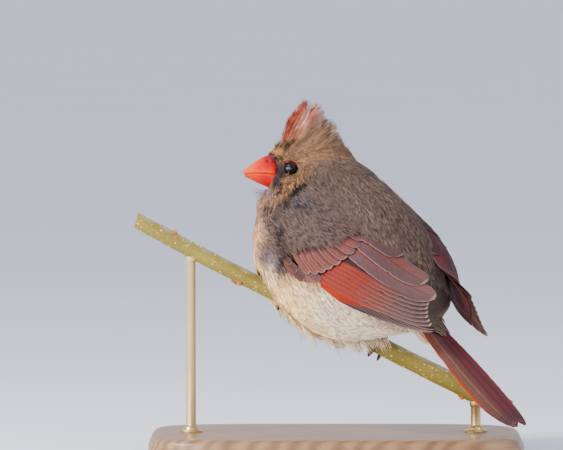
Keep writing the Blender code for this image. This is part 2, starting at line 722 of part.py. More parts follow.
def make_foot(name, side):
    d0 = FEET[side]
    u, thick = perch_at(d0)
    toes = []
    claws = []
    for number, (shift, way, length, radius) in enumerate(TOES):
        ring = thick + 0.35 + radius
        sweep = math.degrees(length / ring)
        line = []
        radii = []
        for t in np.linspace(0, 1, 9):
            angle = 90 - way * (sweep * t - 6)
            r = radius * (1.12 - 0.25 * t + 0.08 * math.cos(t * math.tau * 3))
            line.append(round_perch(d0 + shift * (0.25 + 0.75 * min(1, t * 1.6)), angle, thick + 0.4 + r))
            radii.append(r * MM)
        across = perch_place(1, 0, -0.55) - perch_place(0, 0, 0)
        toes.append(tube("toe", line, radii, sides=6, up=across))
        run = (line[-1] - line[-2]).normalized()
        inward = (perch_place(d0 + shift, 0, perch_at(d0 + shift)[0]) - line[-1]).normalized()
        start = line[-1] + run * GAP
        claw = []
        claw_radii = []
        for t in np.linspace(0, 1, 6):
            claw.append(start + run * (5.6 * t - 1.2 * t * t) * MM - inward * (1.0 * t - 1.6 * t * t) * MM)
            claw_radii.append((0.85 * (1 - t) ** 0.8 + 0.12) * MM)
        claws.append(tube(f"claw_{side}_{number + 1}", claw, claw_radii, sides=6, up=across))
    stub = [round_perch(d0, 88, radius) for radius in (thick + 0.45, thick + 2.2, TROUGH - 0.45)]
    leg = tube(name, stub, [1.7 * MM, 1.6 * MM, 1.45 * MM], sides=10, up=Vector((0.3, 1, 0)))
    combine(leg, toes, "UNION")
    return leg, claws


BASE_LENGTH = 150
BASE_WIDTH = 92
BASE_HIGH = 9
BASE_ROUND = 0.4                  # 1 would be an oval, 0 a rectangle
BASE_EDGE = [(0.8, 0), (0, 0.8), (0, BASE_HIGH - 1.6), (0.5, BASE_HIGH - 0.5), (1.6, BASE_HIGH)]
ROD_RADIUS = 2.0
RODS = {"left": -58, "right": 56}


def make_base():
    """A flat board with round ends, its long side along the perch, its edges eased."""
    rings = []
    for inset, z in BASE_EDGE:
        ring = []
        for j in range(48):
            angle = math.tau * j / 48
            half_long, half_wide = BASE_LENGTH / 2 - inset, BASE_WIDTH / 2 - inset
            c, s = math.cos(angle), math.sin(angle)
            d = half_long * math.copysign(abs(c) ** BASE_ROUND, c)
            t = half_wide * math.copysign(abs(s) ** BASE_ROUND, s)
            ring.append(perch_place(d, t, z - BODY_UP / MM))
        rings.append(ring)
    return loft("stand_base", rings)


def make_rod(side, perch):
    d = RODS[side]
    u, thick = perch_at(d)
    low = perch_place(d, 0, BASE_HIGH + (GAP - BODY_UP) / MM)
    high = perch_place(d, 0, u)
    rod = tube(f"stand_rod_{side}", [low, low.lerp(high, 0.5), high], [ROD_RADIUS * MM] * 3, sides=20,
               up=Vector((0.3, 1, 0)))
    return combine(rod, [grown(perch, "perch_room", GAP)])


def coat(obj, made):
    obj.data.materials.clear()
    obj.data.materials.append(made)


def above(plane, by):
    """What to keep on the far side of a cut, a distance off it."""
    return plane[0] + plane[1] * by, -plane[1]


def below(plane, by):
    return plane[0] - plane[1] * by, plane[1]


def build():
    clear_scene()
    buff = material("buff_feathers", (0.34, 0.24, 0.15), 0.9)
    red = material("red_feathers", (0.36, 0.09, 0.06), 0.85)
    horn = material("bill_horn", (0.8, 0.14, 0.04), 0.45)
    dark = material("eye_dark", (0.01, 0.008, 0.008), 0.08)
    scale = material("leg_scales", (0.22, 0.09, 0.07), 0.6)
    claw_mat = material("claw_horn", (0.08, 0.05, 0.04), 0.4)
    bark = material("twig_bark", (0.16, 0.17, 0.05), 0.75)
    wood = material("stand_wood", (0.2, 0.1, 0.05), 0.5)
    brass = material("stand_brass", (0.75, 0.55, 0.25), 0.3, 1.0)

    whole = skin()
    add_modifier(whole, "DECIMATE", ratio=ROOM_KEPT)
    plain = new_object("plain_skin", bpy.data.meshes.new_from_object(
        whole.evaluated_get(bpy.context.evaluated_depsgraph_get())))
    whole.modifiers.clear()
    room_left, room_right = grown(plain, "room_left", 2 * GAP), grown(plain, "room_right", 2 * GAP)
    bpy.data.objects.remove(plain, do_unlink=True)
    low_neck, high_neck = [(spot(*(c * MM for c in place)), Vector(way).normalized())
                           for place, way in (LOW_NECK, HIGH_NECK)]
    waist = (trunk_place(WAIST_ALONG, 0, 0), trunk_place(1, 0, 0) - trunk_place(0, 0, 0))
    torso = part_of(whole, "torso", [below(low_neck, GAP / 2), above(waist, GAP / 2)])
    neck = part_of(whole, "neck", [above(low_neck, GAP / 2), below(high_neck, GAP / 2)])
    rump = part_of(whole, "rump", [below(waist, GAP / 2)])
    upper, lower = make_bill()
    head = make_head(whole, [above(high_neck, GAP / 2)], upper, lower)
    crest = make_crest(head)
    combine(upper, nostrils())
    tail = make_tail()
    combine(rump, rump_coverts(np.random.default_rng(5)), "UNION")
    combine(rump, [tail_room()])
    combine(torso, [trough()])
    wings = [make_wing("wing_left", 1, room_left), make_wing("wing_right", -1, room_right)]
    for obj in [torso, neck, rump, head, crest]:
        coat(obj, buff)
    for obj in wings + [tail]:
        coat(obj, red)
    coat(upper, horn)
    coat(lower, horn)
    for side, sign in (("left", 1), ("right", -1)):
        eye = ball(f"eye_{side}", eye_point(sign, 0, 0, 0), EYE_RADIUS * MM, 18, 12)
        coat(eye, dark)
        leg, claws = make_foot(f"leg_{side}", side)
        coat(leg, scale)
        for claw in claws:
            coat(claw, claw_mat)
    perch = make_perch()
    coat(perch, bark)
    coat(make_base(), wood)
    for side in RODS:
        coat(make_rod(side, perch), brass)
    bpy.data.objects.remove(whole, do_unlink=True)
    for obj in bpy.data.objects:
        triangulate(obj)


build()
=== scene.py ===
"""The looks of a life-size female northern cardinal on a cut twig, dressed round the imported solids."""
import math
from contextlib import contextmanager
from itertools import product

import bmesh
import bpy
import numpy as np
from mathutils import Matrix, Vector, noise
from mathutils.bvhtree import BVHTree


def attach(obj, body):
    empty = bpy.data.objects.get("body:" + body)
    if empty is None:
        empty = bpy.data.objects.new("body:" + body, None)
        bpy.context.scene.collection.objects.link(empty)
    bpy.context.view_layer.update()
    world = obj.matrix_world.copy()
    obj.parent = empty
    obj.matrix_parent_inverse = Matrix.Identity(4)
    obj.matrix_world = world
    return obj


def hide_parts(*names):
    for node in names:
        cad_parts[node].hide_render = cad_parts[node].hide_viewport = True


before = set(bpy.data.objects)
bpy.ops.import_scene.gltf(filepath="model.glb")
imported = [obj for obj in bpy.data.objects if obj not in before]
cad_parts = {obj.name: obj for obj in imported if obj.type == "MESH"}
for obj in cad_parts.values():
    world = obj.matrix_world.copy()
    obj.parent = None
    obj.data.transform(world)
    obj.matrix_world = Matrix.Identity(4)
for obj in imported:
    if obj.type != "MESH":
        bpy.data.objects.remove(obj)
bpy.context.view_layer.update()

MM = 0.001

# Driving sizes, in millimetres, as in the solids. The bird's own directions are forward, left and up.
BODY_UP = 84
BODY_PITCH = math.radians(36)
HEAD_AT = (18.5, 2, 28.5)
HEAD_TURN = math.radians(60)
TAIL_PITCH = math.radians(36.2)


def lin(red, green, blue):
    """A colour as the eye reads it on a screen, turned into light."""
    return np.array([c / 12.92 if c <= 0.04045 else ((c + 0.055) / 1.055) ** 2.4 for c in (red, green, blue)])


def step(low, high, value):
    """0 below low, 1 above high, smooth between."""
    t = np.clip((np.asarray(value, float) - low) / (high - low), 0, 1)
    return t * t * (3 - 2 * t)


def blend(first, second, part):
    """From the first colour to the second; part has one number a row."""
    part = np.asarray(part, float)[..., None]
    return np.asarray(first) * (1 - part) + np.asarray(second) * part


def layered(colour, *layers):
    """Blends (colour, part) layers over a first colour, one after another."""
    for tone, part in layers:
        colour = blend(colour, tone, part)
    return colour


def unit(vectors):
    return vectors / np.maximum(np.linalg.norm(vectors, axis=-1, keepdims=True), 1e-9)


def spot(forward, left, up):
    """A place in the scene, from the bird's own directions about the middle of its body."""
    forward, left, up = np.broadcast_arrays(forward, left, up)
    return np.stack([left, -forward, up + BODY_UP], axis=-1).astype(float)


def way_of(place, *direction):
    """The direction that a placing function gives to these numbers."""
    return place(*direction) - place(0, 0, 0)


def turned(forward, left, angle):
    cos, sin = math.cos(angle), math.sin(angle)
    return forward * cos - left * sin, forward * sin + left * cos


def head_point(a, s, h):
    """A place in the head's frame: towards the bill, to the head's left, and up."""
    forward, left = turned(np.asarray(a, float), np.asarray(s, float), HEAD_TURN)
    return spot(HEAD_AT[0] + forward, HEAD_AT[1] + left, HEAD_AT[2] + np.asarray(h, float))


def head_way(a, s, h):
    return way_of(head_point, a, s, h)


def head_coords(points):
    a, s = turned(-points[..., 1] - HEAD_AT[0], points[..., 0] - HEAD_AT[1], -HEAD_TURN)
    return a, s, points[..., 2] - BODY_UP - HEAD_AT[2]


def trunk_coords(points):
    forward, up = -points[..., 1], points[..., 2] - BODY_UP
    along = forward * math.cos(BODY_PITCH) + up * math.sin(BODY_PITCH)
    return along, points[..., 0], up * math.cos(BODY_PITCH) - forward * math.sin(BODY_PITCH)


def between(a, b, c, d, u):
    """A share u of the way from b to c on a smooth curve through four places."""
    return 0.5 * (2 * b + (c - a) * u + (2 * a - 5 * b + 4 * c - d) * u * u
                  + (3 * b - a - 3 * c + d) * u ** 3)


def through(knots, count):
    """count rows read at even steps from a smooth curve through the rows of knots."""
    knots = np.asarray(knots, float)
    padded = np.vstack([2 * knots[0] - knots[1], knots, 2 * knots[-1] - knots[-2]])
    t = np.linspace(0, len(knots) - 1, count)
    i = np.minimum(t.astype(int), len(knots) - 2)
    u = (t - i)[:, None]
    return between(padded[i], padded[i + 1], padded[i + 2], padded[i + 3], u)


# Meshes from arrays

def new_object(name, data):
    obj = bpy.data.objects.new(name, data)
    bpy.context.scene.collection.objects.link(obj)
    return obj


def mesh_object(name, points, faces):
    """A smooth object from places in millimetres and faces that all have as many corners."""
    mesh = bpy.data.meshes.new(name)
    faces = np.asarray(faces, np.int32)
    mesh.vertices.add(len(points))
    mesh.vertices.foreach_set("co", (np.asarray(points, float) * MM).ravel())
    mesh.loops.add(faces.size)
    mesh.loops.foreach_set("vertex_index", faces.ravel())
    mesh.polygons.add(len(faces))
    mesh.polygons.foreach_set("loop_start", np.arange(0, faces.size, faces.shape[1], dtype=np.int32))
    mesh.polygons.foreach_set("use_smooth", np.ones(len(faces), bool))
    mesh.update(calc_edges=True)
    return new_object(name, mesh)


def read_rows(collection, name, width, kind=np.float32):
    """One attribute of a mesh's points, corners or triangles, a row for each."""
    rows = np.empty(len(collection) * width, kind)
    collection.foreach_get(name, rows)
    return rows.reshape(-1, width)


def get_points(mesh, what="co"):
    return read_rows(mesh.vertices, what, 3).astype(float)


@contextmanager
def edited(mesh):
    """The mesh opened for editing and written back afterwards."""
    work = bmesh.new()
    work.from_mesh(mesh)
    yield work
    work.to_mesh(mesh)
    work.free()


def face_out(obj):
    with edited(obj.data) as work:
        bmesh.ops.recalc_face_normals(work, faces=work.faces)


def set_tint(obj, colours):
    layer = obj.data.color_attributes.new("Tint", "FLOAT_COLOR", "POINT")
    rows = np.ones((len(obj.data.vertices), 4))
    rows[:, :3] = np.clip(colours, 0, 1)
    layer.data.foreach_set("color", rows.ravel())


def set_uv(obj, name, points_uv):
    """A UV map from one place for each point."""
    layer = obj.data.uv_layers.new(name=name)
    corners = read_rows(obj.data.loops, "vertex_index", 1, np.int32)[:, 0]
    layer.data.foreach_set("uv", np.asarray(points_uv, float)[corners].ravel())


def circle(count):
    """Angles at even steps round a circle."""
    return np.arange(count) * math.tau / count


def grid_faces(rows, cols, start=0, wrap=False):
    """Four-cornered faces over a grid of points; wrap joins each row's last point to its first."""
    i, j = np.meshgrid(np.arange(rows - 1), np.arange(cols if wrap else cols - 1), indexing="ij")
    k = (j + 1) % cols
    quads = np.stack([i * cols + j, i * cols + k, (i + 1) * cols + k, (i + 1) * cols + j], axis=-1)
    return quads.reshape(-1, 4) + start


def halved(quads):
    return np.vstack([quads[:, [0, 1, 2]], quads[:, [0, 2, 3]]])


def loft_arrays(rings):
    """Points and faces of a closed body through rings of like points, its ends closed by fans."""
    rings = np.asarray(rings, float)
    count, sides = rings.shape[:2]
    points = np.vstack([rings.reshape(-1, 3), rings[0].mean(axis=0), rings[-1].mean(axis=0)])
    j = np.arange(sides)
    k = (j + 1) % sides
    last = (count - 1) * sides
    low = np.stack([np.full(sides, count * sides), k, j], axis=-1)
    high = np.stack([np.full(sides, count * sides + 1), last + j, last + k], axis=-1)
    return points, np.vstack([halved(grid_faces(count, sides, wrap=True)), low, high])


def loft_tint(tones, sides):
    """The tints of a loft's points, from one tint or one row of tints for each ring."""
    tones = [np.broadcast_to(tone, (sides, 3)) for tone in tones]
    return np.vstack(tones + [tones[0][:1], tones[-1][:1]])


def join_arrays(parts):
    """One set of points, faces and tints from several."""
    starts = np.cumsum([0] + [len(points) for points, _, _ in parts])
    faces = np.vstack([tris + start for (_, tris, _), start in zip(parts, starts)])
    return np.vstack([p[0] for p in parts]), faces, np.vstack([p[2] for p in parts])


def tube_rings(line, radii, sides, up):
    """Rings round a line of places; radii is (n,) or (n, 2) for across and up."""
    radii = np.asarray(radii, float)
    if radii.ndim == 1:
        radii = np.stack([radii, radii], axis=-1)
    run = unit(np.gradient(line, axis=0))
    side = unit(np.cross(run, up))
    over = np.cross(side, run)
    turn = circle(sides)
    return (line[:, None] + side[:, None] * (radii[:, :1] * np.cos(turn))[..., None]
            + over[:, None] * (radii[:, 1:] * np.sin(turn))[..., None])


def tube(line, radii, sides, up, tones):
    """A closed tube with one tint for each ring: its points, faces and tints."""
    return (*loft_arrays(tube_rings(line, radii, sides, up)), loft_tint(tones, sides))


def finish_piece(obj, material, slot, *nodes):
    obj.data.materials.clear()
    obj.data.materials.append(material)
    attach(obj, "root")
    if nodes:
        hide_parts(*nodes)
    return obj


def make_piece(name, points, faces, tint, material, slot, *nodes):
    """A closed piece from arrays."""
    obj = mesh_object(name, points, faces)
    if tint is not None:
        set_tint(obj, tint)
    face_out(obj)
    return finish_piece(obj, material, slot, *nodes)


# Materials

class Nodes:
    """A material's node tree with short calls to add to it."""

    def __init__(self, name, roughness=0.7, **settings):
        self.material = bpy.data.materials.new(name)
        self.material.use_nodes = True
        self.tree = self.material.node_tree
        self.shader = self.tree.nodes["Principled BSDF"]
        self.shader.inputs["Roughness"].default_value = roughness
        for key, value in settings.items():
            self.shader.inputs[key.replace("_", " ")].default_value = value

    def node(self, kind, inputs=None, **settings):
        made = self.tree.nodes.new(kind)
        for key, value in settings.items():
            setattr(made, key, value)
        for key, value in (inputs or {}).items():
            if isinstance(value, bpy.types.NodeSocket):
                self.tree.links.new(value, made.inputs[key])
            else:
                made.inputs[key].default_value = value
        return made

    def place(self, scale=(1, 1, 1)):
        """The place on the object, in metres, stretched for grain."""
        source = self.node("ShaderNodeTexCoord").outputs["Object"]
        return self.node("ShaderNodeMapping", {"Vector": source, "Scale": scale}).outputs["Vector"]

    def tint(self):
        return self.node("ShaderNodeAttribute", attribute_name="Tint").outputs["Color"]

    def noise(self, vector, scale, detail=3.0, roughness=0.5):
        made = self.node("ShaderNodeTexNoise", {"Vector": vector, "Scale": scale, "Detail": detail,
                                                "Roughness": roughness})
        return made.outputs["Fac"]

    def ramp(self, value, low, high):
        """Maps a 0 to 1 value so that it runs from low to high."""
        made = self.node("ShaderNodeMapRange", {"Value": value, "From Min": 0.25, "From Max": 0.75,
                                                "To Min": low, "To Max": high})
        return made.outputs["Result"]

    def scaled(self, colour, factor):
        made = self.node("ShaderNodeVectorMath", {0: colour, "Scale": factor}, operation="SCALE")
        return made.outputs["Vector"]

    def math(self, operation, *values):
        return self.node("ShaderNodeMath", dict(enumerate(values)), operation=operation).outputs[0]

    def mix(self, part, first, second):
        """A colour between two, read at the mix node's colour sockets."""
        return self.node("ShaderNodeMix", {"Factor": part, 6: first, 7: second}, data_type="RGBA").outputs[2]

    def grained(self, *grains):
        """The tint, lighter and darker with each grain: (noise, low, high)."""
        colour = self.tint()
        for grain, low, high in grains:
            colour = self.scaled(colour, self.ramp(grain, low, high))
        return colour

    def finish(self, colour, roughness=None, height=None, strength=0.4, distance=0.0002):
        """Links the colour, the roughness and a bump (distance in metres) to the shader."""
        link = self.tree.links.new
        link(colour, self.shader.inputs["Base Color"])
        if roughness is not None:
            link(roughness, self.shader.inputs["Roughness"])
        if height is not None:
            bump = self.node("ShaderNodeBump", {"Strength": strength, "Distance": distance, "Height": height})
            link(bump.outputs["Normal"], self.shader.inputs["Normal"])
        return self.material


def coat_material():
    """Loose body feathers: the tint of each strand, a little mottled, dull with a soft sheen."""
    made = Nodes("body_feathers", 0.85, Specular_IOR_Level=0.15, Sheen_Weight=0.06, Sheen_Roughness=0.5)
    mottle = made.noise(made.place(), 700, 4)
    rough = made.ramp(made.noise(made.place(), 1500, 2), 0.7, 0.92)
    return made.finish(made.grained((mottle, 0.78, 1.22)), rough)


def skin_material():
    """The down under the coat, in the same markings, with short flat barbs as bump."""
    made = Nodes("down", 0.9, Specular_IOR_Level=0.15)
    grain = made.noise(made.place((1, 1, 0.35)), 2600, 4)
    return made.finish(made.grained((grain, 0.6, 1.1)), None, grain, 0.6, 0.0004)


def vane_material():
    """Flight feathers: the tint of each web, with barbs that slant from the shaft to the edge."""
    made = Nodes("flight_feathers", 0.7, Specular_IOR_Level=0.08)
    uv = made.node("ShaderNodeUVMap", uv_map="Vane").outputs["UV"]
    along, across = made.node("ShaderNodeSeparateXYZ", {"Vector": uv}).outputs[:2]
    slant = made.math("MULTIPLY_ADD", made.math("ABSOLUTE", across), -1.3, along)
    narrow = made.math("MULTIPLY", across, 0.12)
    barb = made.node("ShaderNodeCombineXYZ", {"X": slant, "Y": narrow}).outputs["Vector"]
    fine, broad = made.noise(barb, 3.2, 2), made.noise(barb, 0.8, 3)
    colour = made.grained((fine, 0.86, 1.12), (broad, 0.88, 1.1))
    return made.finish(colour, made.ramp(broad, 0.58, 0.8), fine, 0.5, 0.00015)


def horn_material():
    """The bill's horn: smooth, with faint growth lines and a satin gloss."""
    made = Nodes("bill_sheath", 0.42, Specular_IOR_Level=0.12)
    lines = made.noise(made.place((0.4, 0.4, 2.4)), 1400, 3)
    colour = made.grained((made.noise(made.place(), 500, 3), 0.9, 1.08))
    return made.finish(colour, made.ramp(lines, 0.36, 0.5), lines, 0.25, 0.0001)


def eye_material():
    made = Nodes("eyeball", 0.04, Specular_IOR_Level=0.42)
    fibres = made.noise(made.place(), 3000, 3)
    return made.finish(made.grained((fibres, 0.7, 1.3)), made.ramp(fibres, 0.04, 0.07))


def scute_material(name, roughness, gloss=0.15):
    """Scaly skin and claws: the tint with fine wrinkles between the scutes."""
    made = Nodes(name, roughness, Coat_Weight=gloss, Coat_Roughness=0.35, Specular_IOR_Level=2 * gloss)
    cells = made.node("ShaderNodeTexVoronoi", {"Vector": made.place(), "Scale": 2600.0}).outputs["Distance"]
    mottle = made.ramp(made.noise(made.place(), 1800, 3), 0.8, 1.15)
    rough = made.ramp(mottle, roughness - 0.1, roughness + 0.1)
    return made.finish(made.scaled(made.tint(), mottle), rough, cells, 0.35, 0.0001)


def bark_material():
    made = Nodes("green_bark", 0.6, Specular_IOR_Level=0.35)
    streak = made.noise(made.place(), 900, 5, 0.65)
    fine = made.noise(made.place(), 3500, 3)
    colour = made.grained((streak, 0.72, 1.22), (fine, 0.85, 1.12))
    return made.finish(colour, made.ramp(streak, 0.5, 0.75), fine, 0.5, 0.00025)


def wood_material(along):
    """Oiled wood: long grain along the board, darker pores, a soft polish."""
    made = Nodes("stand_board_wood", 0.4, Coat_Weight=0.3, Coat_Roughness=0.25)
    source = made.node("ShaderNodeTexCoord").outputs["Object"]
    grain, fine = (made.node("ShaderNodeMapping", {"Vector": source, "Rotation": (0, 0, -along),
                                                   "Scale": scale}).outputs["Vector"]
                   for scale in ((1, 9, 9), (0.06, 1, 1)))
    bent = made.noise(grain, 14, 4)
    rings = made.node("ShaderNodeTexWave", {"Vector": grain, "Scale": 9.0, "Distortion": 3.5, "Detail": 3.0,
                                            "Detail Scale": 1.4}, bands_direction="Y").outputs["Fac"]
    pores = made.noise(fine, 2200, 2)
    colour = made.mix(rings, (0.20, 0.098, 0.045, 1), (0.33, 0.18, 0.088, 1))
    colour = made.scaled(colour, made.ramp(bent, 0.82, 1.15))
    colour = made.scaled(colour, made.ramp(pores, 0.82, 1.06))
    return made.finish(colour, made.ramp(pores, 0.5, 0.34), pores, 0.3, 0.0001)


def brass_material():
    made = Nodes("stand_brass_satin", 0.3, Metallic=1.0)
    brushed = made.noise(made.place((1, 1, 0.03)), 5000, 2)
    colour = made.mix(made.ramp(brushed, 0.0, 1.0), (0.62, 0.45, 0.2, 1), (0.78, 0.6, 0.3, 1))
    return made.finish(colour, made.ramp(brushed, 0.24, 0.42), brushed, 0.2, 0.00005)


def floor_material():
    made = Nodes("pale_floor", 0.7, Specular_IOR_Level=0.2)
    soft = made.noise(made.place(), 6, 2)
    colour = made.mix(soft, (0.80, 0.84, 0.94, 1), (0.83, 0.87, 0.96, 1))
    return made.finish(colour)


# The skin and its markings

BILL_ROOT = (12.5, 0, -0.5)
EYE_AT = (5.7, 8.15, 2.2)
EYE_TILT = math.radians(20)         # how far the gaze turns forward from straight out
EYE_RADIUS = 3.6
RIM_WIDE = 3.7                      # how far out the short feathers round the eye reach
LID_OPEN = 1.95                     # half the opening between the corners
LID_HIGH = 0.68                     # how high the opening is, as a part of its length


def eye_point(side, forward, out, up):
    """A place about an eye: forward across it, out along its gaze, and up."""
    cos, sin = math.cos(EYE_TILT), math.sin(EYE_TILT)
    return head_point(EYE_AT[0] + forward * cos + out * sin, side * (EYE_AT[1] + out * cos - forward * sin),
                      EYE_AT[2] + up)


def eye_way(side, forward, out, up):
    return eye_point(side, forward, out, up) - eye_point(side, 0, 0, 0)


def eye_coords(points, side):
    """Forward, out and up from an eye's middle."""
    a, s, h = head_coords(points)
    cos, sin = math.cos(EYE_TILT), math.sin(EYE_TILT)
    along, off = a - EYE_AT[0], side * s - EYE_AT[1]
    return along * cos - off * sin, along * sin + off * cos, h - EYE_AT[2]


def patches(points, scale, seed):
    """Soft random numbers of about -1 to 1 over the surface, scale in millimetres."""
    shift = Vector((seed * 17.3, seed * 5.1, seed * 9.7))
    return np.array([noise.noise(Vector(p) / scale + shift) * 1.7 for p in points])


MANTLE = lin(0.39, 0.318, 0.288)
BREAST = lin(0.80, 0.62, 0.49)
BELLY = lin(1.0, 0.81, 0.57)
VENT = lin(1.0, 0.90, 0.78)
# painted shade: the bluish grey of the breast's and flanks' folds
BLUISH_SHADE = lin(0.34, 0.30, 0.345)
PALE_GREY = lin(0.66, 0.62, 0.64)
HEAD_BUFF = lin(0.58, 0.43, 0.315)
MASK = lin(0.21, 0.175, 0.20)
GOLD = lin(0.80, 0.56, 0.33)
CHIN = lin(0.50, 0.41, 0.43)
SHADE = lin(0.13, 0.09, 0.09)
ARC_RED = lin(0.82, 0.25, 0.12)
LOW_BREAST = lin(0.60, 0.46, 0.365)
THROAT = lin(0.62, 0.47, 0.37)
OLIVE_RUMP = lin(0.47, 0.39, 0.345)


def head_reach(points):
    """How far places are from the middle of the head."""
    a, s, h = head_coords(points)
    return np.sqrt((a + 4) ** 2 + s ** 2 + (h * 0.95) ** 2)


def head_part(points):
    """1 on the head, 0 on the trunk."""
    return 1 - step(14.5, 25, head_reach(points))


def fineness(points):
    """1 on the head, falling slowly over the neck to 0 on the body."""
    return 1 - step(14, 40, head_reach(points))


SIDE_VIEW = math.radians(138)       # the direction from which the body's markings are drawn


def side_view(points):
    """Places as seen from behind the bird's shoulder, both sides alike: across and up, in millimetres."""
    x, y, up = np.abs(points[..., 0]), points[..., 1], points[..., 2] - BODY_UP
    across = x * math.cos(SIDE_VIEW) + y * math.sin(SIDE_VIEW)
    near = x * math.sin(SIDE_VIEW) - y * math.cos(SIDE_VIEW)
    return across, up - 0.052 * near


def line_off(x, y, line):
    """How far places lie from a line of knots."""
    best = np.full(np.shape(x), 1e9)
    for (x0, y0), (x1, y1) in zip(line[:-1], line[1:]):
        dx, dy = x1 - x0, y1 - y0
        t = np.clip(((x - x0) * dx + (y - y0) * dy) / (dx ** 2 + dy ** 2), 0, 1)
        best = np.minimum(best, np.hypot(x - x0 - t * dx, y - y0 - t * dy))
    return best


def soft_line(x, y, line, width):
    return np.exp(-(line_off(x, y, line) / width) ** 2)


def soft_spot(x, y, middle, size):
    return np.exp(-((x - middle[0]) / size[0]) ** 2 - ((y - middle[1]) / size[1]) ** 2)


# Lines and places on the face in its side view (forward, up)
BILL_AT = (11, -1)                  # the face's feathers run away from here
CREASE = [(9.1, -12.9), (6.6, -10.9), (4.2, -9.0), (1.8, -7.4), (-1.1, -5.4)]
# the faint crease and the brow, cheek and low lines carry painted shade
FAINT_CREASE = [(-1.1, -5.4), (-6.8, -0.3)]
BROW_SHADE_LINE = [(6.9, 8.6), (3.6, 12.2), (1.4, 14.8)]
CHEEK_SHADE_LINE = [(10.2, -8.9), (6.8, -8.3), (3.8, -6.8)]
LOW_SHADE_LINE = [(8.6, -5.2), (5.8, -4.6), (2.9, -3.4)]
MASK_LINE = [(14.6, 7.4), (11.5, 2.5), (9.9, -3.1), (12.0, -6.4)]


def face_view(a, s, h):
    """Places on the head as the photo's side view shows them: forward and up."""
    return a - 0.213 * np.abs(s), h - 0.052 * np.abs(s)


# Marks on the body, in the side view (across, up); the bluish ones are painted shade
BLUE_SHADE_MARKS = [((-14.4, 16.4), (6.0, 2.4)), ((-8.4, 12.8), (4.6, 3.4)), ((-4.0, 7.6), (3.2, 4.2)),
              ((-21.0, -10.0), (3.6, 5.0)), ((-28.0, -3.6), (2.2, 3.0))]
PALE_MARKS = [((-14, -19), (6, 3.2)), ((-2, -26), (7, 3.0)), ((-25.5, -8), (2.4, 5.0))]
RIDGE = [(-27, 11.5), (-24, 6), (-21, 0), (-19, -6), (-18, -12)]      # where the breast folds under the wing


def ridge_part(points):
    """1 along the fold between breast and wing, where painted shade darkens the gaps between the feathers."""
    x, y = side_view(points)
    return soft_line(x, y, RIDGE, 3.0) * (1 - head_part(points))


# How high the pale belly reaches, along the trunk: up to the folded wing's lower edge
BELLY_LINE = [(-72, 8), (-55, 10), (-38, 5), (-19, 0.5), (-5, -7), (4, -14), (14, -19), (28, -22)]


def knot(pairs, value, column=1):
    """Reads a table of (place, value) rows at places between its rows."""
    pairs = np.asarray(pairs, float)
    return np.interp(value, pairs[:, 0], pairs[:, column])


def trunk_plumage(points):
    """The body's colours: a brown back, a buff breast and a pale belly with a ragged border, and bluish
    painted shade in the folds.
    """
    along, left, up = trunk_coords(points)
    x, y = side_view(points)
    ruffled = up + 2.4 * patches(points, 8, 1)
    border = knot(BELLY_LINE, along)
    low = 1 - step(border - 4, border + 4, ruffled)
    breast = step(-2, 16, along) * (1 - step(-8, 7, ruffled))
    front = blend(BREAST, LOW_BREAST, step(15, 25, along))
    blue_shade_part = 0.4 + 0.45 * step(-2, 2, left)
    olive = step(-38, -54, along) * step(-6, 2, up)
    return layered(MANTLE, (front, breast), (BELLY, low), (VENT, 0.8 * low * (1 - step(-36, -18, along))),
                   *((PALE_GREY, 0.5 * soft_spot(x, y, *mark)) for mark in PALE_MARKS),
                   # the bluish marks are painted shade, stronger on the bird's left
                   *((BLUISH_SHADE, blue_shade_part * soft_spot(x, y, *mark)) for mark in BLUE_SHADE_MARKS),
                   (OLIVE_RUMP, 0.6 * olive))


def head_plumage(points):
    """The head's colours: buff, gold by the bill, a grey chin, painted shade in the creases and partings, and
    the mask.
    """
    a, s, h = head_coords(points)
    u, v = face_view(a, s, h)
    return layered(HEAD_BUFF, (MANTLE * 1.1, 0.45 * step(-6, -15, a)),
                   (GOLD, 0.45 * soft_spot(u, v, (3.8, -5.5), (6, 3.5))),
                   (GOLD, 0.8 * soft_spot(u, v, (10.2, 8.2), (3.0, 3.4))),
                   (THROAT, 0.75 * step(-7.5, -10, v) * step(3, 9, u)),
                   (CHIN, soft_spot(u, v, (15.2, -7.9), (4.0, 2.2))),
                   # painted shade along the crease and the partings of brow and cheek
                   (SHADE, 0.5 * soft_line(u, v, FAINT_CREASE, 0.8)),
                   (SHADE, 0.8 * soft_line(u, v, BROW_SHADE_LINE, 0.7)),
                   (SHADE, 0.75 * soft_line(u, v, CHEEK_SHADE_LINE, 0.45)),
                   (SHADE, 0.7 * soft_line(u, v, LOW_SHADE_LINE, 0.45)),
                   (MASK, mask_part(u, v)))


def crease_height(forward):
    """How high the fold under the cheek runs at a place along the face's side view."""
    line = [(-12, 5.5), (-6.8, -0.3)] + CREASE[::-1] + [(20, -15)]
    return knot(line, forward)


def plumage(points):
    """The colour of the coat at places on the skin or along the strands."""
    a, s, h = head_coords(points)
    u, v = face_view(a, s, h)
    over = step(-1.6, 0.8, v - crease_height(u))
    near = step(20, 16, np.hypot(u, v))
    cheek = step(-7, -1, u) * step(16, 11, u) * near * over
    front = step(-8, 0, a)
    part = np.maximum(head_part(points) * (over * front + 1 - front), cheek)
    # painted shade deep in the fold under the cheek, where the skin is also sunk
    deep = np.minimum(1, 1.4 * soft_line(u, v, CREASE, 1.05)) * folded(s) * (0.5 + 0.5 * step(6.5, 3, u))
    return layered(trunk_plumage(points), (head_plumage(points), part),
                   # painted shade in the gaps between the feathers, and deep in the fold under the cheek
                   (SHADE, face_gap_shade(points, u, v, s, part)), (SHADE * 0.25, deep))


FLECK_LONG, FLECK_WIDE = 4.0, 0.95   # the dark gaps' size along and across the feathers' lie
FLECK_SEED = 7.3
CHEEK_SPOT, BROW_SPOT, EAR_SPOT = ((4.5, -7), (7, 4.5)), ((9, 8.5), (4.5, 5)), ((-3, -2), (9, 6))


def folded(s):
    """1 on the bird's left, where the turned head presses the neck's feathers into folds, 0 on its right."""
    return step(2, 6, s)


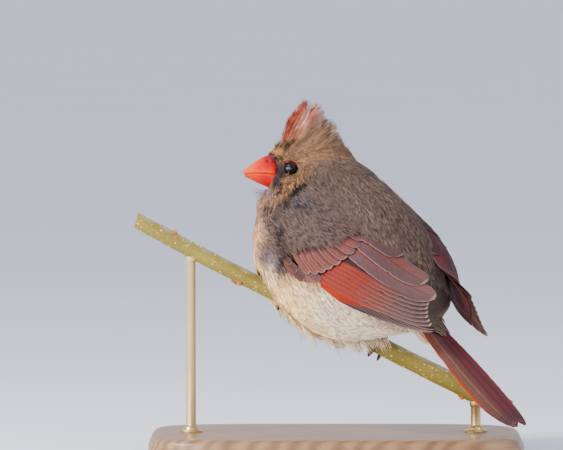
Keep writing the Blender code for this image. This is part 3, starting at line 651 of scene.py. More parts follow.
def face_gap_shade(points, u, v, s, part):
    """Painted shade in the gaps between the small feathers of cheek, brow and neck's fold, drawn out along
    their lie.
    """
    x, y = side_view(points)
    left = step(-2, 2, points[..., 0])
    weights = [part * soft_spot(u, v, *CHEEK_SPOT), part * soft_spot(u, v, *BROW_SPOT),
               0.6 * soft_spot(u, v, *EAR_SPOT) * part, 0.9 * ridge_part(points) * left,
               0.55 * mask_part(u, v) * part]
    weights += [soft_spot(x, y, *mark) * (1 - part) * left for mark in BLUE_SHADE_MARKS[:3]]
    weight = np.minimum(1, 1.5 * np.max(weights, axis=0))
    dark = np.zeros(len(points))
    reach = np.hypot(u - BILL_AT[0], v - BILL_AT[1])
    turn = np.arctan2(v - BILL_AT[1], u - BILL_AT[0]) * np.maximum(reach, 4)
    for i in np.where(weight > 0.06)[0]:
        place = (reach[i] / FLECK_LONG, turn[i] / FLECK_WIDE, FLECK_SEED + np.sign(s[i]))
        dark[i] = noise.noise(Vector(place))
    return weight * step(-0.12, 0.2, dark)


def crease_part(points):
    """1 in the fold under the cheek."""
    a, s, h = head_coords(points)
    u, v = face_view(a, s, h)
    return soft_line(u, v, CREASE, 1.3) * folded(s)


def contrast(points):
    """How strongly one tuft differs from the next: least on the back, more where the photo is flecked."""
    a, s, h = head_coords(points)
    return 0.035 + 0.1 * head_part(points) * soft_spot(a, h, (8, -2), (6, 9)) + 0.12 * ridge_part(points)


def mask_part(forward, up):
    """The grey mask in the face's side view: over the lores, and in a thin line round the bill's root."""
    lores = np.minimum(1, 1.7 * soft_spot(forward, up, (9.6, 0.4), (2.5, 3.2)))
    gape = np.minimum(1, 1.5 * soft_spot(forward, up, (9.9, -3.4), (1.3, 2.4)))
    line = soft_line(forward, up, MASK_LINE, 0.75)
    return np.clip(0.95 * lores + 0.95 * gape + 0.75 * line, 0, 0.95)


def coat_depth(points):
    """How far the skin lies under the coat's tips."""
    head = head_part(points)
    face = step(-2, 10, head_coords(points)[0])
    return (1 - head) * 1.7 + head * (0.95 - 0.4 * face)


# The crest's core: (middle, height, half length, half width)
CREST = [(-3, 5, 12, 8.4), (-3, 9, 12, 7.6), (-3.2, 14, 9.6, 5.4), (-4, 19, 6.8, 3.5), (-4.8, 24, 3.8, 2.0),
         (-5.2, 27.6, 1.2, 0.8)]
CORE_SHARE = 0.8                    # how much of the crest's core is skin


def crest_core(height):
    rows = through(CREST, 61)
    return [np.interp(height, rows[:, 1], rows[:, i]) for i in (0, 2, 3)]


def crest_mound():
    """The raised crown that carries the crest, as one body to join to the skin."""
    turn = circle(28)
    rings = []
    for h in np.linspace(5, 20, 14):
        middle, half_long, half_wide = crest_core(h)
        share = CORE_SHARE * (1 - 0.5 * ((h - 5) / 15) ** 2)
        rings.append(head_point(middle + half_long * share * np.cos(turn),
                                half_wide * share * np.sin(turn), h))
    obj = mesh_object("mound", *loft_arrays(rings))
    face_out(obj)
    return obj


def modify(obj, kind, **settings):
    modifier = obj.modifiers.new(kind.lower(), kind)
    for key, value in settings.items():
        setattr(modifier, key, value)


def apply_modifiers(obj):
    graph = bpy.context.evaluated_depsgraph_get()
    graph.update()
    made = bpy.data.meshes.new_from_object(obj.evaluated_get(graph))
    obj.modifiers.clear()
    obj.data = made


def swollen(node, by):
    """A copy of a node, a little larger, so that it runs into its neighbours."""
    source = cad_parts[node]
    mesh = source.data.copy()
    mesh.transform(source.matrix_world)
    with edited(mesh) as work:
        bmesh.ops.remove_doubles(work, verts=work.verts, dist=0.00001)
        work.normal_update()
        moves = [(v, v.normal * by * MM) for v in work.verts]
        for v, move in moves:
            v.co += move
    return new_object(node + "_copy", mesh)


# The funnel round an eye: how far out its bottom lies, where it starts to rise, how fast, and where it ends
SOCKET_LOW, SOCKET_FROM, SOCKET_SLOPE, SOCKET_WIDE = 2.25, 2.15, 1.0, 5.2


def eye_off(forward, up):
    """How far a place lies from the eye's middle, its height drawn out as the lids' opening is flat."""
    return np.hypot(forward, up / LID_HIGH)


def socket_out(off):
    """How far out the face may lie at a distance from the eye's middle."""
    return SOCKET_LOW + np.maximum(off - SOCKET_FROM, 0) * SOCKET_SLOPE


def sink_sockets(points):
    """Shape the shallow funnels in the face that the eyes and lids lie in."""
    for side in (1, -1):
        forward, out, up = eye_coords(points, side)
        off = eye_off(forward, up)
        inward = np.where((off < SOCKET_WIDE) & (out > 0), np.minimum(socket_out(off) - out, 0), 0)
        points = points + inward[:, None] * eye_way(side, 0, 1, 0)
    return points


CREASE_DEEP = 1.6                    # how much deeper the skin lies in the fold under the cheek
RUMP_END, RUMP_SHRINK = 26, 0.5      # past this place the long coverts, not the flesh, carry the rump's form
FLESH = ("torso", "neck", "head", "rump")
SKIN_VOXEL = 0.8
SWELL = 0.4                          # how much the flesh nodes are swollen to join them
THICKEST = 20.0                      # what counts as a body's thickness where a ray finds no far side


def thickness(obj, points, normals):
    """How thick the body is under each of its points."""
    tree = BVHTree.FromObject(obj, bpy.context.evaluated_depsgraph_get())
    thick = []
    for p, n in zip(points, normals):
        start, way = Vector(p * MM), Vector(-n)
        hit = tree.ray_cast(start + way * 0.0002, way, THICKEST * MM)
        thick.append(hit[3] / MM if hit[3] is not None else THICKEST)
    return np.array(thick)


def make_skin():
    """One closed skin over the flesh nodes, without their seams, sunk by the coat's depth."""
    pieces = [swollen(node, SWELL) for node in FLESH] + [crest_mound()]
    skin = pieces[0]
    with bpy.context.temp_override(active_object=skin, selected_editable_objects=pieces):
        bpy.ops.object.join()
    modify(skin, "REMESH", mode="VOXEL", voxel_size=SKIN_VOXEL * MM, use_smooth_shade=True)
    modify(skin, "SMOOTH", factor=0.5, iterations=10)
    apply_modifiers(skin)
    skin.name = skin.data.name = "skin"
    points = get_points(skin.data) / MM
    normals = get_points(skin.data, "normal")
    depth = np.minimum(coat_depth(points) + SWELL, 0.33 * thickness(skin, points, normals))
    depth = depth + CREASE_DEEP * crease_part(points)
    points = sink_sockets(points - normals * depth[:, None])
    past = np.maximum(tail_coords(points)[0] - RUMP_END, 0)
    points = points - way_of(tail_place, 1, 0, 0) * (RUMP_SHRINK * past)[:, None]
    skin.data.vertices.foreach_set("co", (points * MM).ravel())
    modify(skin, "SMOOTH", factor=0.4, iterations=3)
    modify(skin, "TRIANGULATE")
    apply_modifiers(skin)
    with edited(skin.data) as work:
        bmesh.ops.dissolve_degenerate(work, edges=work.edges, dist=0.00001)
    for polygon in skin.data.polygons:
        polygon.use_smooth = True
    unwrap(skin)
    # the down takes the markings at 0.6: painted shade under the strands
    set_tint(skin, plumage(get_points(skin.data) / MM) * 0.6)
    return finish_piece(skin, skin_material(), "buff_feathers", *FLESH)


def unwrap(obj):
    """The skin's own unwrap, which the coat's tufts share."""
    obj.data.uv_layers.new(name="OFBake")
    bpy.context.view_layer.objects.active = obj
    for other in bpy.context.selected_objects:
        other.select_set(False)
    obj.select_set(True)
    bpy.ops.object.mode_set(mode="EDIT")
    bpy.ops.mesh.select_all(action="SELECT")
    bpy.ops.uv.smart_project(angle_limit=math.radians(66), island_margin=0.004)
    bpy.ops.object.mode_set(mode="OBJECT")
    obj.select_set(False)


# The perch's line

# Along the perch, its middle's height and its radius
PERCH = [(-80, 10, 3.1), (-54, -4, 3.2), (-30, -16.3, 3.25), (0, -31.4, 3.35), (28, -45.6, 3.6),
         (50, -56.5, 3.75), (70, -66.4, 3.95)]
SIDEWAYS = (-0.669, -0.743)         # the way the perch runs, forward and left
SLOPE = math.radians(27.5)
# Along the perch, the angle round it, and the size
BUDS = [(-39, 250, 1.5), (-37.2, 300, 1.2), (-2, 262, 1.4), (52, 285, 1.5), (54.5, 240, 1.3), (-66, 80, 1.1)]


def perch_place(d, toward, u):
    """d runs along the perch seen from its side, toward is square to it on the bird's left rear side."""
    d, toward = np.asarray(d, float), np.asarray(toward, float)
    c, s = SIDEWAYS
    return spot(c * d + s * toward, s * d - c * toward, np.asarray(u, float))


def perch_at(d):
    rows = through(PERCH, 241)
    return [np.interp(d, rows[:, 0], rows[:, i]) for i in (1, 2)]


def round_perch(d, angle, radius):
    """Round the perch: angle 90 is its top, 180 its far side, 0 its side towards the bird's left rear."""
    d = np.asarray(d, float)
    slope = (perch_at(d + 1)[0] - perch_at(d - 1)[0]) / 2
    long = np.hypot(1, slope)
    rise = radius * np.sin(np.radians(angle))
    toward = radius * np.cos(np.radians(angle))
    return perch_place(d - slope / long * rise, toward, perch_at(d)[0] + rise / long)


def perch_coords(points):
    """Along the perch, and how far off its middle line."""
    forward, left, up = -points[..., 1], points[..., 0], points[..., 2] - BODY_UP
    d = SIDEWAYS[0] * forward + SIDEWAYS[1] * left
    toward = SIDEWAYS[1] * forward - SIDEWAYS[0] * left
    rise = (up - perch_at(d)[0]) * math.cos(SLOPE)
    return d, np.hypot(toward, rise)


# The coat

BAKE_PATCH = 0.003                  # the size of a tuft's patch on the skin's unwrap
STRANDS = 9                         # strands in a tuft
TUFTS_A_PIECE = 1360                # so that each piece stays under 200,000 triangles
STATIONS = (0, 0.33, 0.68, 1.0)     # places along a strand, with its width and shade there
TAPER = (0.8, 1.0, 0.75)
SHADE_ALONG = (0.5, 0.82, 1.05, 1.16)
COVERTS_FROM = 26                   # how far down the rump, from the tail's root, the long coverts take over
NEIGHBOURS = list(product((-1, 0, 1), repeat=3))
PACKING = 0.72                      # how near two roots may lie, as a part of their spacing


def barb_faces(count, rings):
    """Faces of count three-sided strands, each of so many full rings and a tip."""
    last, tip = 3 * (rings - 1), 3 * rings
    one = np.vstack([halved(grid_faces(rings, 3, wrap=True)), [[0, 2, 1]],
                     [[last + j, last + (j + 1) % 3, tip] for j in range(3)]])
    return (one[None] + (np.arange(count) * (tip + 1))[:, None, None]).reshape(-1, 3)


def strand_arrays(paths, across, up, half_width, taper):
    """Points of strands: paths (n, k, 3), across and up (n, k, 3), half_width (n,), taper (k - 1,)."""
    wide = half_width[:, None, None] * np.asarray(taper)[None, :, None]
    body, side, rise = paths[:, :-1], across[:, :-1], up[:, :-1]
    ring = np.stack([body - side * wide, body + side * wide, body + rise * wide * 1.1], axis=2)
    flat = ring.reshape(len(paths), -1, 3)
    return np.concatenate([flat, paths[:, -1:]], axis=1).reshape(-1, 3)


class Coat:
    """Strands gathered for one coat piece."""

    def __init__(self):
        self.parts = []

    def add(self, paths, across, up, half_width, taper, tone, shade, uv):
        """tone is (n, 3) or (n, k, 3), shade (k,) runs along a strand, uv (n, 2) is the root's place on the
        unwrap."""
        count, stations = paths.shape[:2]
        points = strand_arrays(paths, across, up, half_width, taper)
        tone = np.broadcast_to(tone[:, None] if tone.ndim == 2 else tone, (count, stations, 3))
        tone = tone * np.asarray(shade)[None, :, None]
        # painted highlight on each strand's top edge, painted shade on its sides
        ridge = np.concatenate([np.tile([0.9, 0.9, 1.1], stations - 1), [1.0]])
        each = np.concatenate([np.repeat(tone[:, :-1], 3, axis=1), tone[:, -1:]], axis=1)
        colours = (each * ridge[None, :, None]).reshape(-1, 3)
        run = np.concatenate([np.repeat(np.linspace(0, 0.85, stations - 1), 3), [1.0]]) * BAKE_PATCH
        over = np.concatenate([np.tile([-0.5, 0.5, 0.0], stations - 1), [0.0]]) * BAKE_PATCH
        places = (uv[:, None] + np.stack([run, over], axis=-1)[None]).reshape(-1, 2)
        self.parts.append((points, barb_faces(count, stations - 1), colours, places))

    def build(self, name, material, *nodes):
        points, faces, tints = join_arrays([part[:3] for part in self.parts])
        obj = mesh_object(name, points, faces)
        set_tint(obj, tints)
        set_uv(obj, "OFBake", np.vstack([part[3] for part in self.parts]))
        return finish_piece(obj, material, "buff_feathers", *nodes)


def scatter(skin, spacing, chance):
    """Roots over the skin, spread evenly: spacing(points) is their distance apart in millimetres."""
    mesh = skin.data
    mesh.calc_loop_triangles()
    corners = read_rows(mesh.loop_triangles, "vertices", 3, np.int32)
    loops = read_rows(mesh.loop_triangles, "loops", 3, np.int32)
    uv = read_rows(mesh.uv_layers["OFBake"].data, "uv", 2)[loops].astype(float)
    tri = (get_points(mesh) / MM)[corners]
    normals = get_points(mesh, "normal")
    area = np.linalg.norm(np.cross(tri[:, 1] - tri[:, 0], tri[:, 2] - tri[:, 0]), axis=1) / 2
    apart = spacing(tri.mean(axis=1))
    weight = area / apart ** 2
    count = int(weight.sum() * 5)
    pick = chance.choice(len(tri), count, p=weight / weight.sum())
    u, v = chance.random(count), chance.random(count)
    flip = u + v > 1
    u[flip], v[flip] = 1 - u[flip], 1 - v[flip]
    share = np.stack([1 - u - v, u, v], axis=-1)[..., None]
    root = (tri[pick] * share).sum(axis=1)
    normal = unit((normals[corners[pick]] * share).sum(axis=1))
    place = (uv[pick] * share).sum(axis=1)
    kept = thin_out(root, apart[pick])
    return root[kept], normal[kept], place[kept]


def thin_out(points, apart):
    """Indexes of points that keep their distance from those kept before them."""
    cells, kept = {}, []
    size = float(apart.max())
    for i, ((x, y, z), reach) in enumerate(zip(points.tolist(), apart.tolist())):
        cell = (int(x // size), int(y // size), int(z // size))
        limit = (reach * PACKING) ** 2
        near = (q for dx, dy, dz in NEIGHBOURS
                for q in cells.get((cell[0] + dx, cell[1] + dy, cell[2] + dz), ()))
        if all((x - a) ** 2 + (y - b) ** 2 + (z - c) ** 2 >= limit for a, b, c in near):
            cells.setdefault(cell, []).append((x, y, z))
            kept.append(i)
    return np.array(kept)


CREST_FOCUS = (14, 0)               # the crown's feathers run away from here, seen from the side
DOWN = np.array([0, 0, -1.0])


def throat_part(points):
    """1 on the throat, under the bill."""
    a, s, h = head_coords(points)
    return step(27, 23, head_reach(points)) * step(-14, -11, h) * step(5, 9, a)


def face_lie(points):
    """The way the head's feathers lie: away from the bill, up the crest, and forward on the chin."""
    a, s, h = head_coords(points)
    ray = unit(points - head_point(*BILL_ROOT))
    crown = step(3, 9, h)[:, None]
    up_crest = unit(head_way(a - CREST_FOCUS[0], 0 * a, h - CREST_FOCUS[1]))
    droop = (1 - step(-9, 1, h)) * 0.45
    face = unit(ray + DOWN * droop[:, None])
    face = face * (1 - crown) + up_crest * crown
    chin = (step(-7.5, -9.5, h) * step(7, 12, a))[:, None]
    forth = unit(head_way(0.75, 0, -0.55) + ray * 0.5)
    return face * (1 - chin) + forth * chin


def lie(points, normals):
    """The way the coat lies: back and down from the neck, and as the face's feathers do on the head."""
    fall = 0.5 + 0.9 * step(-5, 25, trunk_coords(points)[0])
    body = DOWN * fall[:, None] - way_of(spot, math.cos(BODY_PITCH), 0, math.sin(BODY_PITCH))
    face = face_lie(points)
    away = unit(points - head_point(-4, 0, 0))
    head = np.maximum(head_part(points), throat_part(points))[:, None]
    collar = fineness(points)[:, None] * (1 - head)
    flow = unit(body) * (1 - head) + unit(face) * head + away * collar * 0.9
    flow -= normals * (flow * normals).sum(axis=1, keepdims=True)
    return unit(flow)


class Surface:
    """The skin as strands follow it."""

    def __init__(self, obj):
        self.tree = BVHTree.FromObject(obj, bpy.context.evaluated_depsgraph_get())

    def near(self, points, normals):
        """The nearest places on the skin; past an edge a point goes straight on."""
        found = []
        for p, n in zip(points, normals):
            hit, way, _, _ = self.tree.find_nearest(Vector(p * MM))
            hit, way = np.array(hit) / MM, np.array(way)
            found.append((hit, way) if np.dot(way, n) > 0.55 else (p, n))
        return tuple(np.array(rows) for rows in zip(*found))


def tree_of(*names):
    work = bmesh.new()
    for name in names:
        work.from_mesh(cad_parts[name].data)
    tree = BVHTree.FromBMesh(work)
    work.free()
    return tree


def covered(tree, points, normals, reach):
    """Which places lie close under a solid."""
    found = []
    for p, n in zip(points, normals):
        start = Vector(p * MM)
        hit = tree.ray_cast(start, Vector(n), reach * MM)
        near = tree.find_nearest(start, 0.4 * MM)
        found.append(hit[0] is not None or near[0] is not None)
    return np.array(found)


def tuft_paths(root, normal, flow, length, surface, fan, base, lift, chance):
    """Centre lines of the strands from each root, with their across and up vectors.

    Each strand follows a curve through the root and two places further along the skin. fan and base are how
    much the tuft spreads and how wide it is at its root, and lift is how far it stands off."""
    reach = length[:, None]
    mid, mid_n = surface.near(root + flow * reach * 0.5, normal)
    onward = flow - mid_n * (flow * mid_n).sum(axis=1, keepdims=True)
    end, end_n = surface.near(mid + unit(onward) * reach * 0.5, mid_n)

    def each(low, high):
        return chance.uniform(low, high, (len(root), STRANDS, 1, 1))
    base, fan, lift = (value[:, None, None, None] for value in (base, fan, lift))
    u = np.asarray(STATIONS)[None, None, :, None]
    t = u * each(0.75, 1.0) + each(-0.28, 0.28)
    first, second, third = (1 - t) * (1 - 2 * t), 4 * t * (1 - t), t * (2 * t - 1)
    centre = root[:, None, None] * first + mid[:, None, None] * second + end[:, None, None] * third
    over = unit(normal[:, None, None] * (1 - t) + end_n[:, None, None] * t)
    across = unit(np.cross(over, unit(np.gradient(centre, axis=2))))
    order = np.linspace(-1, 1, STRANDS)[None, :, None, None] + each(-0.5, 0.5) * 2 / STRANDS
    spread = order * (base * 0.5 + fan * u)
    curl = each(-0.3, 0.3) * fan * u * u
    high = each(0.25, 1.0) * lift
    rise = -0.25 + (high + 0.25) * np.sin(np.minimum(1, u * 1.5) * math.pi / 2)
    centre = centre + across * (spread + curl) + over * rise
    shape = (len(root) * STRANDS, len(STATIONS), 3)
    return centre.reshape(shape), np.broadcast_to(across, centre.shape).reshape(shape), over.reshape(shape)


def varied(n, count, chance, tuft=0.1, strand=0.26):
    """Factors (n * count, 3): each tuft, each lock of three strands in it and each strand a little lighter or
    darker, or warmer."""
    tuft = np.broadcast_to(np.asarray(tuft, float), (n,))[:, None, None]
    lock = chance.normal(0, 0.5 * strand, (n, count // 3 + 1, 1)).repeat(3, axis=1)[:, :count]
    value = np.exp(chance.normal(0, 1, (n, 1, 1)) * tuft + lock + chance.normal(0, strand, (n, count, 1)))
    value = value * math.exp(-0.6 * strand ** 2)
    warm = 1 + chance.normal(0, 0.03, (n, count, 1)) * np.array([1.0, 0.0, -1.3])
    return (value * warm).reshape(-1, 3)


def streaked(tone, count, chance, tuft=0.1, strand=0.2):
    """Strand colours from one colour for each tuft."""
    return np.repeat(tone, count, axis=0) * varied(len(tone), count, chance, tuft, strand)


def coat_tones(paths, count, chance, tuft):
    """Colours (strands, stations, 3) read from the bird's markings all along each strand."""
    strayed = paths + chance.normal(0, 0.3, (len(paths), 1, 3))
    seen = plumage(strayed.reshape(-1, 3)).reshape(paths.shape)
    return seen * varied(len(paths) // count, count, chance, tuft)[:, None]


def eye_clear(points):
    """How far places are from the rim of the nearer eye's lids, across the gaze."""
    clear = np.full(len(points), 50.0)
    for side in (1, -1):
        forward, out, up = eye_coords(points, side)
        off = np.where(out > -2, eye_off(forward, up), 50.0)
        clear = np.minimum(clear, off - RIM_WIDE)
    return clear


def body_length(points):
    """The strands' length: short on the face, long on the belly and flanks."""
    up = trunk_coords(points)[2]
    a = head_coords(points)[0]
    fine = fineness(points)
    head = head_part(points)
    body = 6.6 + 1.6 * (1 - step(-26, -6, up))
    length = body * (1 - fine) + fine * (3.9 * (1 - head) + head * (3.4 - 2.0 * step(-8, 9, a)))
    throat = throat_part(points)
    length = length * (1 - throat) + np.minimum(length, 3.0) * throat
    length = length * (1 - 0.5 * crease_part(points))
    length = length * (1 - 0.45 * step(16, 26, tail_coords(points)[0]))
    return np.minimum(length, 0.9 + 0.75 * np.maximum(eye_clear(points), 0))


def coat_spacing(points):
    """How far apart the tufts are rooted: closest on the face."""
    a = head_coords(points)[0]
    fine = fineness(points)
    head = head_part(points)
    return 1.72 * (1 - fine) + fine * (1.35 * (1 - head) + head * (1.12 - 0.4 * step(-4, 9, a)))


def strand_width(points):
    """Half a strand's width at its widest."""
    return 0.165 - 0.06 * fineness(points) - 0.015 * head_part(points)


def bare(root, normal):
    """Which roots carry no coat: under the wings, tail and bill, at the eyes, on the twig, past the rump."""
    hidden = covered(tree_of("wing_left", "wing_right", "tail"), root, normal, 2.6)
    hidden |= covered(tree_of("bill_upper", "bill_lower"), root, normal, 1.2)
    hidden |= eye_clear(root) < -0.1
    d, off = perch_coords(root)
    hidden |= (off < 6.9) & (np.abs(d) < 62)
    past, over = tail_coords(root)
    return hidden | (past > COVERTS_FROM) & (over > -2)


def make_coat(skin):
    """The body's coat, in pieces that run from the tail to the bill."""
    chance = np.random.default_rng(21)
    root, normal, uv = scatter(skin, coat_spacing, chance)
    keep = ~bare(root, normal)
    root, normal, uv = root[keep], normal[keep], uv[keep]
    flow = lie(root, normal)
    flow = unit(flow + np.cross(normal, flow) * chance.normal(0, 0.07, len(root))[:, None])
    length = body_length(root) * chance.uniform(0.85, 1.15, len(root))
    surface = Surface(skin)
    material = coat_material()
    head = head_part(root) >= 0.5
    for group, members, along in (("coat_body", np.where(~head)[0], trunk_coords(root)[0]),
                                  ("coat_head", np.where(head)[0], head_coords(root)[0])):
        order = members[np.argsort(along[members])]
        for number, start in enumerate(range(0, len(order), TUFTS_A_PIECE)):
            pick = order[start:start + TUFTS_A_PIECE]
            fill_piece(f"{group}_{number + 1}", root[pick], normal[pick], flow[pick], length[pick], uv[pick],
                       surface, material, chance)
    return material


def fill_piece(name, root, normal, flow, length, uv, surface, material, chance):
    """One coat piece: the tufts of these roots, without the strands that would meet the twig."""
    apart = coat_spacing(root)
    paths, across, up = tuft_paths(root, normal, flow, length, surface, 0.1 * length, 1.1 * apart,
                                   0.15 * length ** 0.8, chance)
    d, off = perch_coords(paths[:, -1])
    clear = ~((off < perch_at(d)[1] + 0.3) & (np.abs(d) < 72))
    tones = coat_tones(paths, STRANDS, chance, contrast(root))
    widths = np.repeat(strand_width(root), STRANDS) * chance.uniform(0.75, 1.25, len(paths))
    coat = Coat()
    coat.add(paths[clear], across[clear], up[clear], widths[clear], TAPER, tones[clear], SHADE_ALONG,
             np.repeat(uv, STRANDS, axis=0)[clear])
    coat.build(name, material)


# Flat feathers

# The wing's outside: (forward, left, up) at every 20 along it, low, middle and high
WING = [((5, 29, -5), (1, 27.5, 9), (-3, 20, 22)),
        ((-14.8, 31.9, -11.9), (-20, 29, 2.3), (-23, 17, 13)),
        ((-32.6, 29.2, -20.8), (-38.4, 25.9, -3.6), (-38, 9, 3.6)),
        ((-49.3, 21.6, -26.8), (-53, 16.8, -13.8), (-55, 2.4, -6.2)),
        ((-66.5, 15.5, -32.7), (-70.8, 9.6, -20.7), (-74.3, -0.3, -10.9))]


def wing_base(p, q):
    """A place on the left wing's drawn surface: p runs from the shoulder to the tips, q up from its
    lower edge."""
    rows = np.asarray(WING, float)
    padded = np.concatenate([[2 * rows[0] - rows[1]], rows, [2 * rows[-1] - rows[-2]],
                             [3 * rows[-1] - 2 * rows[-2]]])
    p, q = np.broadcast_arrays(np.asarray(p, float), np.asarray(q, float))
    t = p / 20 + 1
    i = np.clip(np.floor(t).astype(int), 1, len(padded) - 3)
    u = (t - i)[..., None, None]
    rows = between(padded[i - 1], padded[i], padded[i + 1], padded[i + 2], u)
    v = (q / 15)[..., None]
    low, middle, high = (rows[..., i, :] for i in range(3))
    return low * (v - 1) * (v - 2) / 2 - middle * v * (v - 2) + high * v * (v - 1) / 2


def wing_out(p, q):
    along = wing_base(np.asarray(p) + 0.5, q) - wing_base(np.asarray(p) - 0.5, q)
    over = wing_base(p, np.asarray(q) + 0.5) - wing_base(p, np.asarray(q) - 0.5)
    return unit(np.cross(along, over))


def wing_place(p, q, h, side):
    """A place over the wing's surface, in millimetres; side is 1 for the left wing and -1 for the right."""
    place = wing_base(p, q) + wing_out(p, q) * np.asarray(h)[..., None]
    return spot(place[..., 0], side * place[..., 1], place[..., 2])


TAIL_ROOT = (-25.7, 0, -7.7)
TAIL_BOW = 0.012                    # how much the tail's sides droop
TAIL_START = 28


def tail_coords(points):
    """Along the tail from its root, and over it."""
    forward, up = -points[..., 1] - TAIL_ROOT[0], points[..., 2] - BODY_UP - TAIL_ROOT[2]
    cos, sin = math.cos(TAIL_PITCH), math.sin(TAIL_PITCH)
    return -forward * cos - up * sin, up * cos - forward * sin


def tail_place(p, q, h):
    """A place from the tail's root: p along it, q to the bird's left, and h over it."""
    cos, sin = math.cos(TAIL_PITCH), math.sin(TAIL_PITCH)
    forward, left, up = TAIL_ROOT
    h = h - TAIL_BOW * q * q
    return spot(forward - p * cos - h * sin, left + q, up - p * sin + h * cos)


# Outlines of feathers: (share of the length, share of the greatest width)
OUTLINE = [(0, 0.4), (0.2, 0.78), (0.42, 0.97), (0.62, 1), (0.78, 0.96), (0.9, 0.8), (0.97, 0.5), (1, 0.16)]
SHORT = [(0, 0.8), (0.3, 0.97), (0.6, 1), (0.84, 0.9), (0.94, 0.62), (1, 0.16)]
COVERT = [(0, 0.6), (0.35, 0.95), (0.65, 1), (0.85, 0.9), (0.95, 0.6), (1, 0.2)]
POINTED = [(0, 0.5), (0.25, 0.9), (0.45, 1), (0.65, 0.85), (0.82, 0.55), (0.94, 0.25), (1, 0.08)]
# Where the points lie across a feather, close together at the shaft
ACROSS = np.array([-1, -0.9, -0.68, -0.42, -0.16, -0.05, 0, 0.05, 0.16, 0.42, 0.68, 0.9, 1])


CAMBER = 0.05                       # how much a feather arches across, as a part of its half width


class Vanes:
    """Flat feathers gathered for one piece."""

    def __init__(self, chance):
        self.chance = chance
        self.parts = []

    def outline(self, t, s, half, outline, ragged):
        """The half width all over a feather, with a ragged edge and one split in it."""
        chance = self.chance
        shape = through(outline, 81)
        part = np.interp(t, shape[:, 0], shape[:, 1])
        edge = 1 + ragged * chance.normal(0, 1, t.shape) * (np.abs(s) > 0.8)
        split = chance.uniform(0.35, 0.92)
        notch = np.exp(-((t - split) / 0.018) ** 2) * 0.16 * (s * chance.choice([-1, 1]) > 0.85)
        return half * part, half * part * (edge - notch)

    def add(self, place, root, tip, half, height, paint, tilt=0.0, bow=0.0, thick=0.3, sunk=1.2,
            outline=OUTLINE, rows=26, ragged=0.02, under=None):
        """One feather over a drawn surface: root and tip are (p, q). paint(t, s, off) gives its colours at a
        share of its length, a share of its half width and a distance from its lower edge, and under does so
        for its underside."""
        t = (1 - (1 - np.linspace(0, 1, rows)) ** 1.35)[:, None]
        s = np.broadcast_to(ACROSS[None], (rows, len(ACROSS)))
        even, wide = self.outline(t, s, half, outline, ragged)
        (p0, q0), (p1, q1) = root, tip
        length = math.hypot(p1 - p0, q1 - q0)
        aside = bow * 4 * t * (1 - t) + s * wide
        p = p0 + (p1 - p0) * t - (q1 - q0) / length * aside
        q = q0 + (q1 - q0) * t + (p1 - p0) / length * aside
        ridge = 0.09 * np.exp(-(s / 0.07) ** 2) * (1 - 0.7 * t)
        wave = 0.03 * np.sin(s * 7 + t * 9 + self.chance.uniform(0, 6))
        h = height - sunk * (1 - np.minimum(1, t / 0.35)) ** 2 - tilt * s * wide + CAMBER * half * (1 - s * s)
        top = place(p, q, h + ridge + wave)
        low = place(p, q, h + wave - thick * (1 - 0.75 * np.abs(s) ** 3) * (1 - 0.35 * t))
        at = (np.broadcast_to(t, s.shape), s, (s + 1) * even)
        tint = paint(*at)
        # without under, the underside is the top's tint at 0.6: painted shade
        back = under(*at) if under else tint * 0.6
        vane = np.stack(np.broadcast_arrays(t * length, s * wide), axis=-1).reshape(-1, 2)
        lines = np.stack([at[0], s], axis=-1).reshape(-1, 2)
        self.parts.append((np.stack([top, low]).reshape(-1, 3), halved(blade_faces(rows, len(ACROSS))),
                           np.stack([tint, back]).reshape(-1, 3), np.vstack([vane, vane]), lines))

    def add_plate(self, points, faces, tint):
        """Another closed form in the same piece, such as the flesh under the feathers."""
        self.parts.append((points, faces, tint, np.zeros((len(points), 2)), None))

    def bake_places(self):
        """Each feather's own strip on the bake map, its top beside its underside."""
        places = []
        high = 1 / len(self.parts)
        for number, (points, _, _, _, lines) in enumerate(self.parts):
            middle = (number + 0.5) * high
            if lines is None:
                i = np.arange(len(points)) / len(points)
                places.append(np.stack([i, np.full(len(i), middle)], axis=-1))
                continue
            for start in (0.01, 0.51):
                places.append(np.stack([start + 0.47 * lines[:, 0], middle + lines[:, 1] * 0.42 * high],
                                       axis=-1))
        return np.vstack(places)

    def build(self, name, material, slot, *nodes):
        points, faces, tints = join_arrays([part[:3] for part in self.parts])
        obj = mesh_object(name, points, faces)
        set_tint(obj, tints)
        set_uv(obj, "OFBake", self.bake_places())
        set_uv(obj, "Vane", np.vstack([part[3] for part in self.parts]))
        face_out(obj)
        return finish_piece(obj, material, slot, *nodes)


def blade_faces(rows, cols):
    """Faces of a thin closed plate: its top, its underside, and the strip round its edge."""
    grid = rows * cols
    top = grid_faces(rows, cols)
    under = grid_faces(rows, cols, grid)[:, ::-1]
    rim = ([(i * cols, (i + 1) * cols) for i in range(rows - 1)]
           + [((rows - 1) * cols + j, (rows - 1) * cols + j + 1) for j in range(cols - 1)]
           + [((i + 1) * cols + cols - 1, i * cols + cols - 1) for i in range(rows - 1)][::-1]
           + [(j + 1, j) for j in range(cols - 1)][::-1])
    strip = [(a, b, b + grid, a + grid) for a, b in rim]
    return np.vstack([top, under, strip])


def slab_arrays(outline, place, low, high, rows=40):
    """A closed plate over a drawn surface, between two edge lines of (p, q low, q high)."""
    rings = []
    for p, q_low, q_high in through(outline, rows):
        across = np.linspace(q_low, q_high, 9)
        middle = (low + high) / 2
        q = np.concatenate([across, across[-2:0:-1]])
        rings.append(place(np.full(len(q), p), q, np.array([middle] + [high] * 7 + [middle] + [low] * 7)))
    return loft_arrays(rings)


